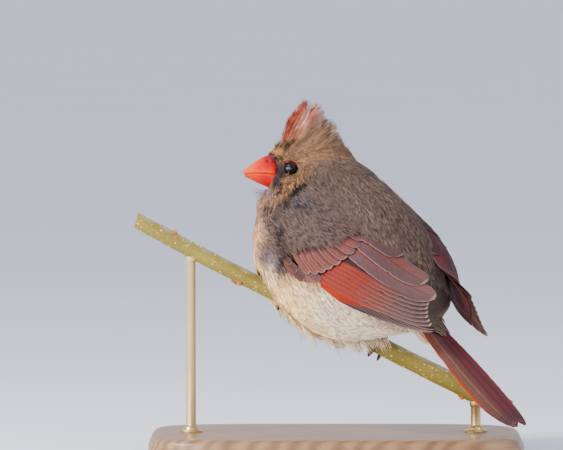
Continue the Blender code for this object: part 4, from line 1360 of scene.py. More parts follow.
# Colours of the flight feathers
ORANGE_RED = lin(0.56, 0.125, 0.05)
ROSE = lin(0.50, 0.20, 0.19)
DULL_RED = lin(0.47, 0.20, 0.15)
DUSK = lin(0.37, 0.275, 0.275)
SLATE = lin(0.17, 0.13, 0.145)
PALE_EDGE = lin(0.66, 0.54, 0.50)
# dark for the shafts, and painted shadow along each feather's edge where the next one overlaps it
SHAFT_AND_SHADOW_DARK = lin(0.12, 0.06, 0.06)
TAIL_ROSE = lin(0.41, 0.165, 0.18)
TAIL_OLIVE = lin(0.31, 0.235, 0.20)
TAIL_TIP = lin(0.25, 0.18, 0.20)
TAIL_SHAFT = lin(0.19, 0.16, 0.21)
# painted shade: the far wing's feathers are tinted darker, as though in shadow
FAR_SHADE = (0.75, 0.5, 0.55)       # the far wing's feathers are darker, as in the photo
FAR_LONGER = 7.5                    # and reach further, in millimetres


COVERT_STRIP = 1.9                  # how much of a greater covert shows past the next one


def margin(s, t, width=0.12):
    """The thin pale rim of a feather, along its edges and tip."""
    return np.maximum(step(1 - width, 1 - width * 0.3, np.abs(s)), step(0.968, 0.985, t))


def shaft(s, width=0.035):
    return np.exp(-(s / width) ** 2)


def paint_primary(t, s, off):
    strip = off / (0.42 + 0.25 * t)
    base = 1 - step(0.24, 0.44, t)
    # painted shadow: a dark line at the top of each showing strip, under the next feather
    return layered(SLATE, (blend(DULL_RED, ORANGE_RED, 0.85), base),
                   (blend(PALE_EDGE * 0.8, ORANGE_RED, 0.9 * base), 0.6 * step(0.42, 0.2, strip)),
                   (SHAFT_AND_SHADOW_DARK, 0.7 * step(0.75, 1.0, strip) * step(0.1, 0.3, t)))


def paint_secondary(t, s, off):
    strip = off / (1.42 + 0.12 * t)
    bright = 1 - step(0.26, 0.5, t)
    inner = blend(blend(DUSK, SLATE, 0.5), DULL_RED, 0.45 * (1 - step(0.3, 0.8, t)))
    rims = np.maximum(0.7 * step(0.16, 0.08, strip), step(0.982, 0.992, t))
    # painted shadow: a dark line at the top of each showing strip, under the next feather
    return layered(lin(0.33, 0.25, 0.25), (DULL_RED, 1 - step(0.45, 0.8, t)), (ORANGE_RED, 0.95 * bright),
                   (inner, step(0.42, 0.66, strip)), (SHAFT_AND_SHADOW_DARK, 0.75 * step(0.72, 0.95, strip)),
                   (blend(PALE_EDGE, ORANGE_RED, 0.6 * bright), 0.5 * rims * step(0.1, 0.5, t)))


def paint_under(t, s, off):
    """The side turned to the body: dark maroon with a fine pale rim."""
    return layered(lin(0.42, 0.19, 0.19), (lin(0.29, 0.17, 0.18), step(0.3, 0.9, t)),
                   (SHAFT_AND_SHADOW_DARK, 0.6 * shaft(s, 0.06)), (PALE_EDGE, 0.6 * margin(s, t, 0.09)))


def paint_tertial(t, s, off):
    rosy = soft_spot(s, t, (0.35, 0.35), (0.45, 0.42))
    return layered(DUSK * (1.12 - 0.25 * t)[..., None], (ROSE, 0.7 * rosy),
                   (SLATE, 0.35 * step(0.5, -0.6, s)), (SHAFT_AND_SHADOW_DARK, 0.5 * shaft(s)),
                   (PALE_EDGE, 0.42 * margin(s, t, 0.05)))


def paint_covert(t, s, off):
    strip = off / COVERT_STRIP
    rims = np.maximum(step(0.13, 0.05, strip), step(0.95, 0.985, t))
    # painted shadow: a dark line at the top of each showing strip, under the next covert
    return layered(DULL_RED * 0.75, (DUSK * 0.75, 0.25 + 0.55 * step(0.8, 1, t)),
                   (blend(DUSK, DULL_RED, 0.35), step(0.35, 0.6, strip)),
                   (SHAFT_AND_SHADOW_DARK, 0.5 * step(0.75, 1.0, strip)), (PALE_EDGE, 0.5 * rims))


def paint_upper_covert(t, s, off):
    rosy = step(0.2, 0.5, off / COVERT_STRIP) * (1 - step(0.7, 0.95, t))
    return layered(paint_covert(t, s, off), (DUSK * 1.1, 0.55), (ROSE, 0.35 * rosy))


def paint_lesser(t, s, off):
    return layered(MANTLE, (DULL_RED, 0.3 * (1 - step(-0.2, 0.5, s))), (PALE_EDGE, 0.3 * margin(s, t, 0.12)))


def paint_alula(t, s, off):
    return layered(lin(0.27, 0.18, 0.175), (DULL_RED, 0.4 * step(-0.45, -0.8, s)),
                   (SHAFT_AND_SHADOW_DARK, 0.5 * shaft(s, 0.06)), (PALE_EDGE, 0.5 * margin(s, t, 0.1)))


def paint_primary_covert(t, s, off):
    return layered(lin(0.30, 0.22, 0.22), (DULL_RED, 0.35 * step(0.3, -0.6, s)),
                   (PALE_EDGE, 0.3 * margin(s, t, 0.15)))


def spread(first, last, count, i):
    return first + (last - first) * i / (count - 1)


# The tips (p, q) of the wing's feathers, from those that lie lowest to those on top
PRIMARY_TIPS = [(68, 1.8), (76, 2.25), (80.5, 2.8), (82.8, 3.4), (83.6, 4.1), (83.2, 4.9)]
SECONDARY_TIPS = [(81.8, 6.0), (80.2, 7.3), (78.6, 8.7), (77.4, 10.3), (76.5, 12.0), (75.8, 13.8),
                  (75.3, 15.5)]
TERTIALS = [((33, 17.8), (76.6, 17.2), 4.6), ((33, 22.8), (68.6, 22.2), 4.9), ((31, 27), (51, 27.4), 4.6)]
GREATER_TIPS = [(24.5, 4.4), (28, 5.8), (31, 7.4), (33.5, 9.4), (35.8, 11.8), (37.4, 14.4), (38.2, 17.2),
                (38, 20.4), (37, 24)]
ALULA_TIPS = [(22.5, 1.0), (17.6, 2.4), (13.6, 3.8)]


def wing_feathers(vanes, place, chance, tone, longer):
    """The wing's feathers, from those that lie lowest to those on top; longer draws its tips out."""
    def painted(paint):
        return lambda t, s, off: paint(t, s, off) * np.asarray(tone)
    flight = {"rows": 36, "under": paint_under}
    for i, (p, q) in enumerate(PRIMARY_TIPS):
        vanes.add(place, (30 + 1.2 * i, 3.5 + 0.36 * i), (p + longer, q), 2.3, -0.42 + 0.05 * i,
                  painted(paint_primary), 0.2, 0.2, sunk=0.4, outline=SHORT, **flight)
    for i, (p, q) in enumerate(SECONDARY_TIPS):
        end = p + 0.6 * longer * (1 - i / len(SECONDARY_TIPS)) + chance.uniform(-0.3, 0.3)
        vanes.add(place, (28 + 1.3 * i, 5.6 + 1.4 * i), (end, q), 3.3, -0.08 + 0.045 * i,
                  painted(paint_secondary), 0.2, 0.4, sunk=0.4, outline=SHORT, **flight)
    for i, (root, tip, half) in enumerate(TERTIALS):
        vanes.add(place, root, tip, half, 0.35 + 0.3 * i, painted(paint_tertial), 0.06, 0.5, sunk=0.6,
                  **flight)
    for i in range(5):
        vanes.add(place, (12 + 1.6 * i, 2.0 + 0.45 * i), (spread(24.6, 30, 5, i), spread(1.5, 3.8, 5, i)),
                  1.5, 0.4, painted(paint_primary_covert), 0.16, outline=COVERT)
    for i, (p, q) in enumerate(GREATER_TIPS):
        paint = paint_covert if i < 6 else paint_upper_covert
        vanes.add(place, (p - 13, q + spread(4.4, 1.5, 9, i)), (p + chance.uniform(-0.3, 0.3), q), 2.25,
                  0.8 + 0.02 * i, painted(paint), 0.13, 0.3, sunk=0.4, outline=COVERT)
    for i, (p, q) in enumerate(ALULA_TIPS):
        vanes.add(place, (8 - i, 2.4 + 0.9 * i), (p, q), 1.8 - 0.25 * i, 1.05 + 0.2 * i,
                  painted(paint_alula), 0.12, outline=COVERT)
    for i in range(7):
        p, q = spread(14, 28, 7, i), spread(8.4, 23.5, 7, i)
        vanes.add(place, (p - 9, q + 1.2), (p, q), 2.0, 0.95, painted(paint_lesser), 0.1, sunk=0.5,
                  outline=COVERT)


# The flesh under the feathers: (p, q low, q high)
WING_PLATE = [(5, 3, 25), (20, 3, 28), (34, 3.2, 29), (48, 3.2, 27), (60, 3, 22), (74, 4, 12)]


def make_wing(name, side, material):
    """A folded wing; the right one, seen past the back in the photo, is darker and reaches further."""
    def place(p, q, h):
        return wing_place(p, q, h, side)
    chance = np.random.default_rng(7 + side)
    vanes = Vanes(chance)
    points, faces = slab_arrays(WING_PLATE, place, -1.3, -0.55)
    vanes.add_plate(points, faces, np.broadcast_to(lin(0.34, 0.17, 0.175), (len(points), 3)))
    # the far wing's tone is painted shade
    tone, longer = (1.0, 0.0) if side > 0 else (FAR_SHADE, FAR_LONGER)
    wing_feathers(vanes, place, chance, tone, longer)
    return vanes.build(f"{name}_feathers", material, "red_feathers", name)


# The outer edges and the lengths of the tail's feathers, pair by pair from the middle
TAIL_EDGES = (None, lin(0.33, 0.24, 0.21), lin(0.35, 0.26, 0.22), lin(0.37, 0.25, 0.21),
              lin(0.44, 0.22, 0.17), lin(0.64, 0.17, 0.09))
TAIL_REACH = (99, 100, 99.6, 98.2, 96, 92.6)


def paint_tail(pair, side):
    """The tail's stripes: s runs from -1 at the feather's right edge to 1 at its left one."""
    def paint(t, s, off):
        if pair == 0 and side < 0:
            colour = layered(lin(0.38, 0.16, 0.17), (lin(0.40, 0.15, 0.16), step(-0.1, -0.35, s)),
                             (TAIL_ROSE, step(-0.35, -0.5, s)),
                             (lin(0.46, 0.24, 0.25), 0.8 * step(-0.84, -0.93, s)))
        else:
            colour = layered(TAIL_ROSE, (TAIL_OLIVE, step(0.2, 0.4, s) * (0.9 - 0.4 * t)),
                             (TAIL_ROSE * 1.15, 0.7 * step(-0.1, -0.5, s)),
                             (lin(0.50, 0.32, 0.28), 0.5 * step(0.82, 0.92, s)))
        if pair > 0:
            colour = blend(colour, TAIL_EDGES[pair], step(0.45, 0.75, side * s))
        return layered(colour, (TAIL_SHAFT, 0.9 * shaft(s - 0.05, 0.13)),
                       (TAIL_TIP, 0.75 * step(0.84, 0.96, t)),
                       (lin(0.52, 0.33, 0.31), 0.3 * margin(s, t, 0.05)))
    return paint


def make_tail(material):
    """Twelve tail feathers, the middle pair on top."""
    chance = np.random.default_rng(3)
    vanes = Vanes(chance)
    for pair, reach in enumerate(TAIL_REACH):
        for side in (1, -1):
            height = 1.0 - 0.37 * pair - 0.07 * side
            root = (TAIL_START + 1, side * (0.5 + 0.22 * pair))
            tip = (reach + 0.3 * side, side * (1.7 + 0.72 * pair))
            vanes.add(tail_place, root, tip, 4.5 - 0.1 * pair, height, paint_tail(pair, side), bow=side * 0.7,
                      sunk=0.2, rows=44, thick=0.32)
    return vanes.build("tail_feathers", material, "red_feathers", "tail")


def paint_rump(t, s, off):
    return layered(MANTLE, (lin(0.42, 0.355, 0.30), step(0.3, 0.9, t)), (MANTLE * 0.5, 0.6 * shaft(s, 0.12)),
                   (lin(0.60, 0.51, 0.44), 0.3 * margin(s, t, 0.2)))


def paint_vent(t, s, off):
    return blend(VENT, BELLY, 0.5 * shaft(s, 0.4))


# Rows of coverts over the tail: how many, from and to where, how far to the side, how high; then those below
RUMP_ROWS = ((7, 22, 45, 5.0, 1.9), (9, 18, 40, 7.0, 2.5), (11, 15, 34, 8.6, 3.1))
VENT_ROWS = ((31, 45), (27, 38))


def make_rump_coverts(material):
    """The long coverts over and under the tail's root."""
    chance = np.random.default_rng(5)
    vanes = Vanes(chance)
    for count, root, tip, wide, height in RUMP_ROWS:
        for i in range(count):
            q = spread(-wide, wide, count, i)
            end = tip - 0.06 * q * q + chance.uniform(-1.5, 1.5)
            vanes.add(tail_place, (root, q * 0.75), (end, q * 0.8 + chance.uniform(-0.4, 0.4)), 2.6,
                      height + 0.25 * (i % 2), paint_rump, sunk=4.0, ragged=0.03, outline=POINTED)
    for row, (root, tip) in enumerate(VENT_ROWS):
        for i in range(8):
            q = spread(-5.5, 5.5, 8, i)
            end = tip + chance.uniform(-1, 1) - 0.05 * q * q
            vanes.add(tail_place, (root, q * 0.7), (end, q), 2.2, -2.9 - 0.8 * row - 0.25 * (i % 2),
                      paint_vent, sunk=-1.5, ragged=0.08)
    return vanes.build("tail_coverts", material, "buff_feathers")


# The crest, as a shell seen from the side: its front and rear at each height, and its half width
CREST_FRONT = [(7.0, 12.6), (10.6, 10.4), (13.8, 7.9), (17.7, 6.1), (20.6, 5.0), (24.2, 2.8), (28.5, -0.7),
               (29.9, -1.9)]
CREST_REAR = [(7.0, -20.5), (10.5, -18.0), (14, -15.8), (20.3, -13.8), (22, -10.4), (25, -8.9), (27.6, -7.8),
              (28.2, -3.6), (29.9, -2.6)]
CREST_HALF = [(6, 10.8), (9, 9.4), (12, 7.4), (14, 6.3), (20, 4.0), (26, 1.9), (29.9, 0.4)]
CREST_RED = lin(0.64, 0.16, 0.085)
CREST_PINK = lin(0.80, 0.57, 0.51)
CREST_STRANDS = 9
CREST_STATIONS = np.array([0, 0.2, 0.4, 0.6, 0.8, 1.0])
CREST_TAPER = (0.8, 1, 1, 0.85, 0.6)
CREST_SHADE = (0.7, 0.85, 0.97, 1.05, 1.1, 1.12)
# The long red feathers of the peak: how many, roots' (along, up) from and to, tips' (along, up)
PLUMES = [(30, (7.4, 11.5), (4.0, 17.5), (-1.6, 29.6)), (24, (4.6, 12), (1.2, 16), (-7.2, 27.8))]


def crest_share(a, h):
    """Where a place lies between the crest's rear (-1) and its front (1)."""
    front, rear = knot(CREST_FRONT, h), knot(CREST_REAR, h)
    return (a - (front + rear) / 2) / np.maximum((front - rear) / 2, 0.4)


def crest_side(a, h, inset):
    """How far to the side the shell lies at a place in its side view."""
    return knot(CREST_HALF, h) * np.sqrt(np.clip(1 - crest_share(a, h) ** 2, 0.01, 1)) * inset


def crest_tone(a, h, chance):
    """Buff low down, red along the front, pale pink behind it, and pale tips at the rear."""
    behind = knot(CREST_FRONT, h) - a
    rough = chance.normal(0, 0.6, len(a))
    deep = np.interp(h, (14, 18, 22), (6.5, 4.8, 2.6))
    red = step(13.5, 17.5, h + rough) * (1 - step(deep - 1, deep + 1, behind + rough))
    pink = step(17, 20, h + rough) * step(deep - 0.5, deep + 1.5, behind + rough) * (1 - step(9, 13, behind))
    rim = 1 - step(0.5, 6, a - knot(CREST_REAR, h))
    mixed = blend(CREST_RED, lin(0.50, 0.32, 0.22), chance.uniform(0, 0.75, len(a)))
    return layered(plumage(head_point(a, 6 + 0 * a, np.minimum(h, 16))),
                   (lin(0.72, 0.59, 0.50), 0.7 * rim * step(9, 14, h)), (CREST_PINK, 0.8 * pink),
                   (mixed, 0.9 * red))


def crest_paths(a, h, side, inset, way, long, chance):
    """Strand lines on the shell: they start at (a, h), run the given way, and stay at the same depth."""
    each = (len(a), CREST_STRANDS)
    order = np.linspace(-1, 1, CREST_STRANDS)[None, :] + chance.uniform(-0.2, 0.2, each)
    reach = CREST_STATIONS[None, None] * (long[:, None] * chance.uniform(0.72, 1.04, each))[..., None]
    fan = (order * 0.62)[..., None] * (1 + 0.5 * CREST_STATIONS)
    off = fan + (0.006 * chance.normal(0.4, 1, each))[..., None] * reach ** 2
    aa = a[:, None, None] + way[:, 0, None, None] * reach - way[:, 1, None, None] * off
    hh = h[:, None, None] + way[:, 1, None, None] * reach + way[:, 0, None, None] * off
    lift = 0.6 * np.sin(CREST_STATIONS * math.pi / 2) * chance.uniform(0, 1, each)[..., None] - 0.2
    ss = crest_side(aa, hh, inset[:, None, None]) + lift
    flat = (len(a) * CREST_STRANDS, len(CREST_STATIONS))
    sides = np.repeat(side, CREST_STRANDS)[:, None]
    aa, hh, ss = aa.reshape(flat), hh.reshape(flat), ss.reshape(flat)
    paths = head_point(aa, sides * ss, hh)
    tilt = crest_share(aa, hh)
    off = sides * np.sqrt(np.clip(1.05 - tilt ** 2, 0.05, 1))
    out = unit(head_way(np.clip(tilt, -1, 1), off, 0.25 + 0 * aa))
    across = unit(np.cross(out, unit(np.gradient(paths, axis=1))))
    return paths, across, out


def crest_room(a, h, way):
    """How far a feather may run before it leaves the crest's outline."""
    pace = 0.35
    reach = np.arange(1, 60) * pace
    aa = a[:, None] + way[:, :1] * reach
    hh = h[:, None] + way[:, 1:] * reach
    inside = (hh < CREST_FRONT[-1][0]) & (aa < knot(CREST_FRONT, hh) + 0.2) & (aa > knot(CREST_REAR, hh))
    return pace * np.argmin(np.hstack([inside, np.zeros((len(a), 1), bool)]), axis=1)


def crest_shell(coat, side, chance):
    """The short feathers over one side of the crest, thinner and looser at its rear."""
    h = chance.uniform(7.2, 28.8, 6000)
    a = chance.uniform(-20, 11.8, 6000)
    keep = (a < knot(CREST_FRONT, h)) & (a > knot(CREST_REAR, h) + 1.0)
    a, h = a[keep], h[keep]
    kept = thin_out(np.stack([a, h, 0 * a], axis=-1), np.full(len(a), 1.45))
    a, h = a[kept], h[kept]
    way = unit(np.stack([a - CREST_FOCUS[0], h - CREST_FOCUS[1]], axis=-1))
    way = unit(way + chance.normal(0, 0.05, way.shape))
    far = np.hypot(a - 11, h - 7)
    long = (3.6 + 5.6 * step(2, 12, far)) * chance.uniform(0.85, 1.15, len(a))
    long = np.minimum(long, crest_room(a, h, way) + chance.uniform(-0.3, 1.3, len(a)))
    rear = a + way[:, 0] * long - knot(CREST_REAR, h + way[:, 1] * long)
    wispy = step(5, 0.5, rear) * step(11, 15, h) + 0.6 * step(19, 23, h)
    keep = (long > 1.3) & (chance.random(len(a)) > 0.62 * wispy)
    a, h, way, long = a[keep], h[keep], way[keep], long[keep]
    inset = chance.uniform(0.8, 1.0, len(a))
    tone = crest_tone(a + way[:, 0] * long * 0.5, h + way[:, 1] * long * 0.5, chance)
    add_crest(coat, a, h, side, inset, way, long, tone, 0.13, chance)


def crest_plumes(coat, side, chance):
    """The long red feathers of the peak."""
    for number, first, last, tip in PLUMES:
        share = chance.uniform(0, 1, number)
        a = first[0] + (last[0] - first[0]) * share + chance.normal(0, 0.3, number)
        h = first[1] + (last[1] - first[1]) * share
        run = np.array(tip) + chance.normal(0, 0.35, (number, 2)) - np.stack([a, h], axis=-1)
        long = np.linalg.norm(run, axis=1) * chance.uniform(0.9, 1.12, number)
        tone = blend(CREST_RED, lin(0.72, 0.42, 0.35), chance.uniform(0, 0.9, number))
        inset = chance.uniform(0.25, 1.0, number)
        add_crest(coat, a, h, side, inset, unit(run), long, tone, 0.28, chance, 0.3)


def make_crest(material):
    """The crest feather by feather."""
    chance = np.random.default_rng(11)
    coat = Coat()
    for side in (1.0, -1.0):
        crest_shell(coat, side, chance)
        crest_plumes(coat, side, chance)
    return coat.build("crest_feathers", material, "crest")


def add_crest(coat, a, h, side, inset, way, long, tone, tuft, chance, narrow=1.0):
    """Feathers of the crest with their roots at (a, h); narrow draws each one's strands together."""
    paths, across, out = crest_paths(a, h, np.full(len(a), side), inset, way, long, chance)
    if narrow < 1:
        each = paths.reshape(len(a), CREST_STRANDS, -1, 3)
        middle = each.mean(axis=1, keepdims=True)
        paths = (middle + (each - middle) * narrow).reshape(paths.shape)
    uv = np.stack([0.05 + 0.9 * (a + 21) / 34, 0.25 + 0.2 * side + 0.4 * (h - 7) / 46], axis=-1)
    widths = 0.1 * chance.uniform(0.8, 1.2, len(paths))
    tints = streaked(tone, CREST_STRANDS, chance, tuft)
    uv = np.repeat(uv, CREST_STRANDS, axis=0)
    coat.add(paths, across, out, widths, CREST_TAPER, tints, CREST_SHADE, uv)


# Eyes, lids and bill

PUPIL = lin(0.02, 0.02, 0.035)
IRIS = lin(0.10, 0.055, 0.045)
LID_SKIN = lin(0.07, 0.06, 0.07)
LID_THICK = 0.22
RIM_COUNT = 760                     # tiny feathers round each eye


def make_eye(side, name, material):
    """A round eyeball with a raised clear front: black pupil, near-black brown iris."""
    rings, tones = [], []
    turn = circle(56)
    for lat in np.linspace(0.02, math.pi - 0.02, 60):
        radius = EYE_RADIUS + 0.2 * float(np.exp(-(lat / 0.55) ** 2))
        off, out = radius * math.sin(lat), radius * math.cos(lat)
        rings.append(eye_point(side, off * np.cos(turn), out, off * np.sin(turn)))
        tones.append(blend(PUPIL, IRIS, step(0.36, 0.42, lat) * (1 - step(0.62, 0.75, lat))))
    tint = loft_tint(tones, len(turn))
    return make_piece(f"{name}_ball", *loft_arrays(rings), tint, material, "eye_dark", name)


def make_lids(side, name, material):
    """Both lids as one thin rim that hugs the eyeball, with a corner before and behind."""
    turn, ring_turn = circle(96), circle(12)
    rings = []
    for angle in turn:
        corner = 0.25 * abs(math.cos(angle)) ** 8
        thick = LID_THICK + 0.02 * math.sin(angle * 13)
        off = LID_OPEN + corner + LID_THICK
        reach = off * math.hypot(math.cos(angle), LID_HIGH * math.sin(angle))
        seat = math.sqrt(max(EYE_RADIUS ** 2 - reach ** 2, 0)) + 0.08
        radial = off + 1.35 * thick * np.cos(ring_turn)
        out = seat + thick * np.sin(ring_turn) - 0.32 * thick * np.cos(ring_turn)
        rings.append(eye_point(side, radial * math.cos(angle), out, LID_HIGH * radial * math.sin(angle)))
    faces = halved(grid_faces(len(turn) + 1, len(ring_turn), wrap=True) % (len(turn) * len(ring_turn)))
    inner = blend(LID_SKIN * 1.3, LID_SKIN * 0.5, 0.5 - 0.5 * np.cos(ring_turn))
    tint = np.tile(inner, (len(turn), 1))
    return make_piece(name, np.vstack(rings), faces, tint, material, "buff_feathers")


def rim_roots(surface, side, x, y):
    """Places on the skin round an eye, found from outside."""
    way = eye_way(side, 0, 1, 0)
    roots = []
    for forward, up in zip(x, y):
        start = Vector(eye_point(side, forward, 9, up) * MM)
        hit = surface.tree.ray_cast(start, Vector(-way), 0.01)
        roots.append(np.array(hit[0]) / MM if hit[0] is not None else eye_point(side, forward, 2, up))
    return np.array(roots)


def rim_tone(root, angle, share):
    """A thin pale ring, then the mask in front, dark flecks below and an orange-red arc above."""
    ahead, low = step(0.1, 0.8, np.cos(angle)), step(0.2, 0.8, -np.sin(angle))
    pale = (1 - step(0.1, 0.4, share)) * (1 - 0.9 * ahead)
    arc = (np.exp(-((share - 0.62) / 0.2) ** 2) * step(0.35, 0.7, np.sin(angle))
           * step(-0.8, -0.4, np.cos(angle)))
    return layered(plumage(root), (MASK, 0.9 * ahead), (lin(0.66, 0.58, 0.54), 0.75 * pale),
                   (SHADE, 0.55 * step(0.35, 0.5, share) * (1 - step(0.65, 0.95, share)) * low),
                   (ARC_RED, 0.95 * arc))


def make_eye_rims(surface, material):
    """The tiny feathers round each eye."""
    chance = np.random.default_rng(31)
    coat = Coat()
    for side in (1, -1):
        angle = chance.uniform(0, math.tau, RIM_COUNT)
        share = chance.uniform(0, 1, RIM_COUNT)
        off = LID_OPEN + 0.4 + (RIM_WIDE + 0.3 - LID_OPEN - 0.4) * share
        root = rim_roots(surface, side, off * np.cos(angle), off * LID_HIGH * np.sin(angle))
        forward, out, up = (unit(eye_way(side, *way)) for way in np.eye(3))
        away = forward * np.cos(angle)[:, None] + up * np.sin(angle)[:, None]
        run = unit(away * 0.9 - forward * 0.5 + out * 0.3)
        long = 0.75 + 0.6 * share
        t = np.array([0, 0.5, 1.0])
        bow = np.array([-0.1, 0.1, -0.05])
        paths = root[:, None] + run[:, None] * (long[:, None] * t)[..., None] + out * bow[None, :, None]
        across = unit(np.cross(np.broadcast_to(out, run.shape), run))
        three = (RIM_COUNT, 3, 3)
        uv = np.stack([0.5 + side * 0.2 + 0.1 * np.cos(angle), 0.5 + 0.1 * np.sin(angle)], axis=-1)
        tone = streaked(rim_tone(root, angle, share), 1, chance, 0.12)
        coat.add(paths, np.broadcast_to(across[:, None], three), np.broadcast_to(out, three),
                 np.full(RIM_COUNT, 0.085), (0.8, 1.0), tone, (0.8, 1.0, 1.1), uv)
    return coat.build("eye_rims", material)


# The bill's sections: along it, its top, half width, mouth line and bottom
BILL = [(9, 5.6, 2.8, -1.8, -5.6), (10, 6.7, 4.4, -1.6, -6.6), (11.2, 7.2, 5.5, -1.2, -7.0),
        (12.6, 7.2, 5.6, -0.5, -6.6), (14.5, 6.7, 4.9, -0.1, -5.7), (17, 5.6, 3.9, 0.0, -4.7),
        (19.5, 4.0, 2.8, 0.1, -3.5), (21.9, 2.2, 1.7, -0.1, -2.3), (23.9, 0.5, 0.7, -0.6, -1.5)]
BILL_RED = lin(0.70, 0.024, 0.010)
BILL_ORANGE = lin(0.84, 0.25, 0.0)
BILL_DARK = lin(0.32, 0.04, 0.10)
MOUTH_GAP = 0.05
NOSTRIL = (14.4, 4.9)


def bill_tint(points, upper):
    """Coral red, orange towards the tip and the mouth's edge, dark at the root, with a painted highlight
    along the culmen and a painted purplish sky reflection on its top near the root.
    """
    a, s, h = head_coords(points)
    colour = blend(BILL_RED, BILL_ORANGE, 0.9 * step(15, 22, a) * (1.0 if upper else 0.75))
    edge = np.exp(-((h - 0.3) / 0.9) ** 2) * step(11.5, 14, a)
    top = np.maximum(knot([row[:2] for row in BILL], a), 1)
    # the lighter orange along the upper culmen towards the tip is a painted highlight
    ridge = step(0.8, 1.0, (h + 0.3) / top) if upper else 0 * a
    colour = blend(colour, BILL_ORANGE * 1.08, np.clip(0.8 * edge + 0.4 * ridge * step(14, 17, a), 0, 1))
    root = 1 - step(9.5, 12.9, a + (0.28 * h if upper else -0.1 * h))
    colour = blend(colour, BILL_DARK, 0.7 * root)
    # painted sky reflection: a dark purplish patch on the top near the root
    if upper:
        colour = blend(colour, lin(0.45, 0.03, 0.12), 0.8 * step(17.5, 12.5, a) * step(1.8, 4.6, h))
    gape = np.exp(-(((a - 11.6) / 1.0) ** 2 + ((h + 2.2) / 1.4) ** 2))
    return blend(colour, BILL_ORANGE, 0.85 * gape)


def bill_ring(row, upper):
    """One section of a bill half: its outside arch, with the nostril's pit, and its hollow inside."""
    a, top, half, mouth, bottom = row
    arch = np.linspace(0, math.pi, 33)
    under = np.linspace(0.94, -0.94, 12)
    sign = 1 if upper else -1
    edge = mouth + sign * MOUTH_GAP
    rise = (top if upper else bottom) - edge
    wide = half if upper else half * 0.93
    s = wide * np.cos(arch) * (1 - 0.05 * np.abs(np.cos(arch)) if upper else 1.0)
    h = edge + rise * np.sin(arch) ** 0.93
    if upper:
        pit = 0.55 * np.exp(-((a - NOSTRIL[0]) / 0.85) ** 2 - ((h - NOSTRIL[1]) / 0.5) ** 2)
        s = s - np.sign(s) * pit
    ring_s = np.concatenate([s, -wide * under])
    ring_h = np.concatenate([h, edge + 0.18 * (1 - under ** 2) * sign])
    return head_point(np.full(len(ring_s), a - (0 if upper else 0.4)), ring_s, ring_h)


def make_bill(material):
    """The two halves, parted along the mouth line that turns down at the gape."""
    for name, upper in (("bill_upper", True), ("bill_lower", False)):
        rows = through(BILL, 70)
        points, faces = loft_arrays([bill_ring(row, upper) for row in (rows if upper else rows[:-2])])
        tint = bill_tint(points, upper)
        if upper:
            # painted shade in the nostril's pit
            a, _, h = head_coords(points)
            nostril_shade = np.exp(-((a - NOSTRIL[0]) / 0.7) ** 2 - ((h - NOSTRIL[1]) / 0.45) ** 2)
            tint = blend(tint, lin(0.12, 0.05, 0.06), 0.8 * nostril_shade)
        make_piece(f"{name}_sheath", points, faces, tint, material, "bill_horn", name)


# Bristles at the chin, the gape and the nostrils: how many, where, how widely strewn, their way and length
BRISTLES = [(34, (15.6, 3.2, -7.6), (1.8, 2.8, 1.2), (1.0, 0.2, -0.12), (2.5, 7.0)),
            (14, (16.6, 3.5, -9.4), (1.2, 3.4, 1.4), (1.0, 0.2, -0.35), (2.0, 4.5)),
            (26, (11.6, 5.6, -4.6), (1.2, 0.7, 2.4), (0.9, 0.3, -0.45), (2.0, 3.6)),
            (60, (12.6, 3.6, 6.4), (0.9, 2.6, 1.2), (0.95, 0.2, -0.12), (1.6, 2.8)),
            (40, (11.4, 5.4, 3.4), (0.8, 0.6, 2.2), (0.95, 0.35, 0.1), (1.2, 2.4))]


def make_bristles(material):
    """Stiff hair-like bristles round the bill."""
    chance = np.random.default_rng(41)
    coat = Coat()
    t = np.linspace(0, 1, 5)
    for (number, middle, size, way, reach), side in product(BRISTLES, (1, -1)):
        place = np.array(middle) + chance.normal(0, 0.5, (number, 3)) * np.array(size)
        root = head_point(place[:, 0] - 0.8, side * place[:, 1], place[:, 2])
        ways = np.array(way) + chance.normal(0, 0.22, (number, 3))
        run = unit(head_way(ways[:, 0], side * ways[:, 1], ways[:, 2]))
        long = chance.uniform(*reach, number)[:, None]
        paths = (root[:, None] + run[:, None] * (long * t)[..., None]
                 + head_way(0, 0, -0.9) * (0.175 * long * t ** 2)[..., None])
        up = unit(np.broadcast_to(head_way(0, 0, 1), paths.shape))
        across = unit(np.cross(up, np.broadcast_to(run[:, None], paths.shape)))
        tone = blend(lin(0.15, 0.14, 0.17), lin(0.50, 0.44, 0.46), chance.uniform(0, 1, number) ** 2)
        uv = np.stack([chance.uniform(0.1, 0.9, number), chance.uniform(0.1, 0.9, number)], axis=-1)
        coat.add(paths, across, up, np.full(number, 0.028), (1, 0.9, 0.75, 0.5), tone, (1,) * 5, uv)
    return coat.build("bristles", material)


# Feet

FEET = {"left": -17.2, "right": 15.6}
# Each toe's shift along the twig, its way round it, its length and its radius
TOES = ((-3.6, -1, 12.0, 1.1), (0.0, -1, 13.6, 1.15), (3.6, -1, 11.6, 1.05), (0.4, 1, 9.0, 1.25))
TROUGH = 7.3
SCUTE_LONG = 1.35
TOE_DARK = lin(0.42, 0.15, 0.12)
TOE_PALE = lin(0.72, 0.42, 0.36)


def toe_line(d0, shift, way, length, radius):
    """A toe's middle line round the twig: the shares along it, its places and its radii."""
    thick = float(perch_at(d0)[1])
    ring = thick + 0.35 + radius
    sweep = math.degrees(length / ring)
    t = np.linspace(0, 1, 73)
    angle = 90 - way * (sweep * t - 6)
    r = radius * (1.12 - 0.25 * t + 0.08 * np.cos(t * math.tau * 3))
    d = d0 + shift * (0.25 + 0.75 * np.minimum(1, t * 1.6))
    return t, np.array([round_perch(*row) for row in zip(d, angle, thick + 0.4 + r)]), r


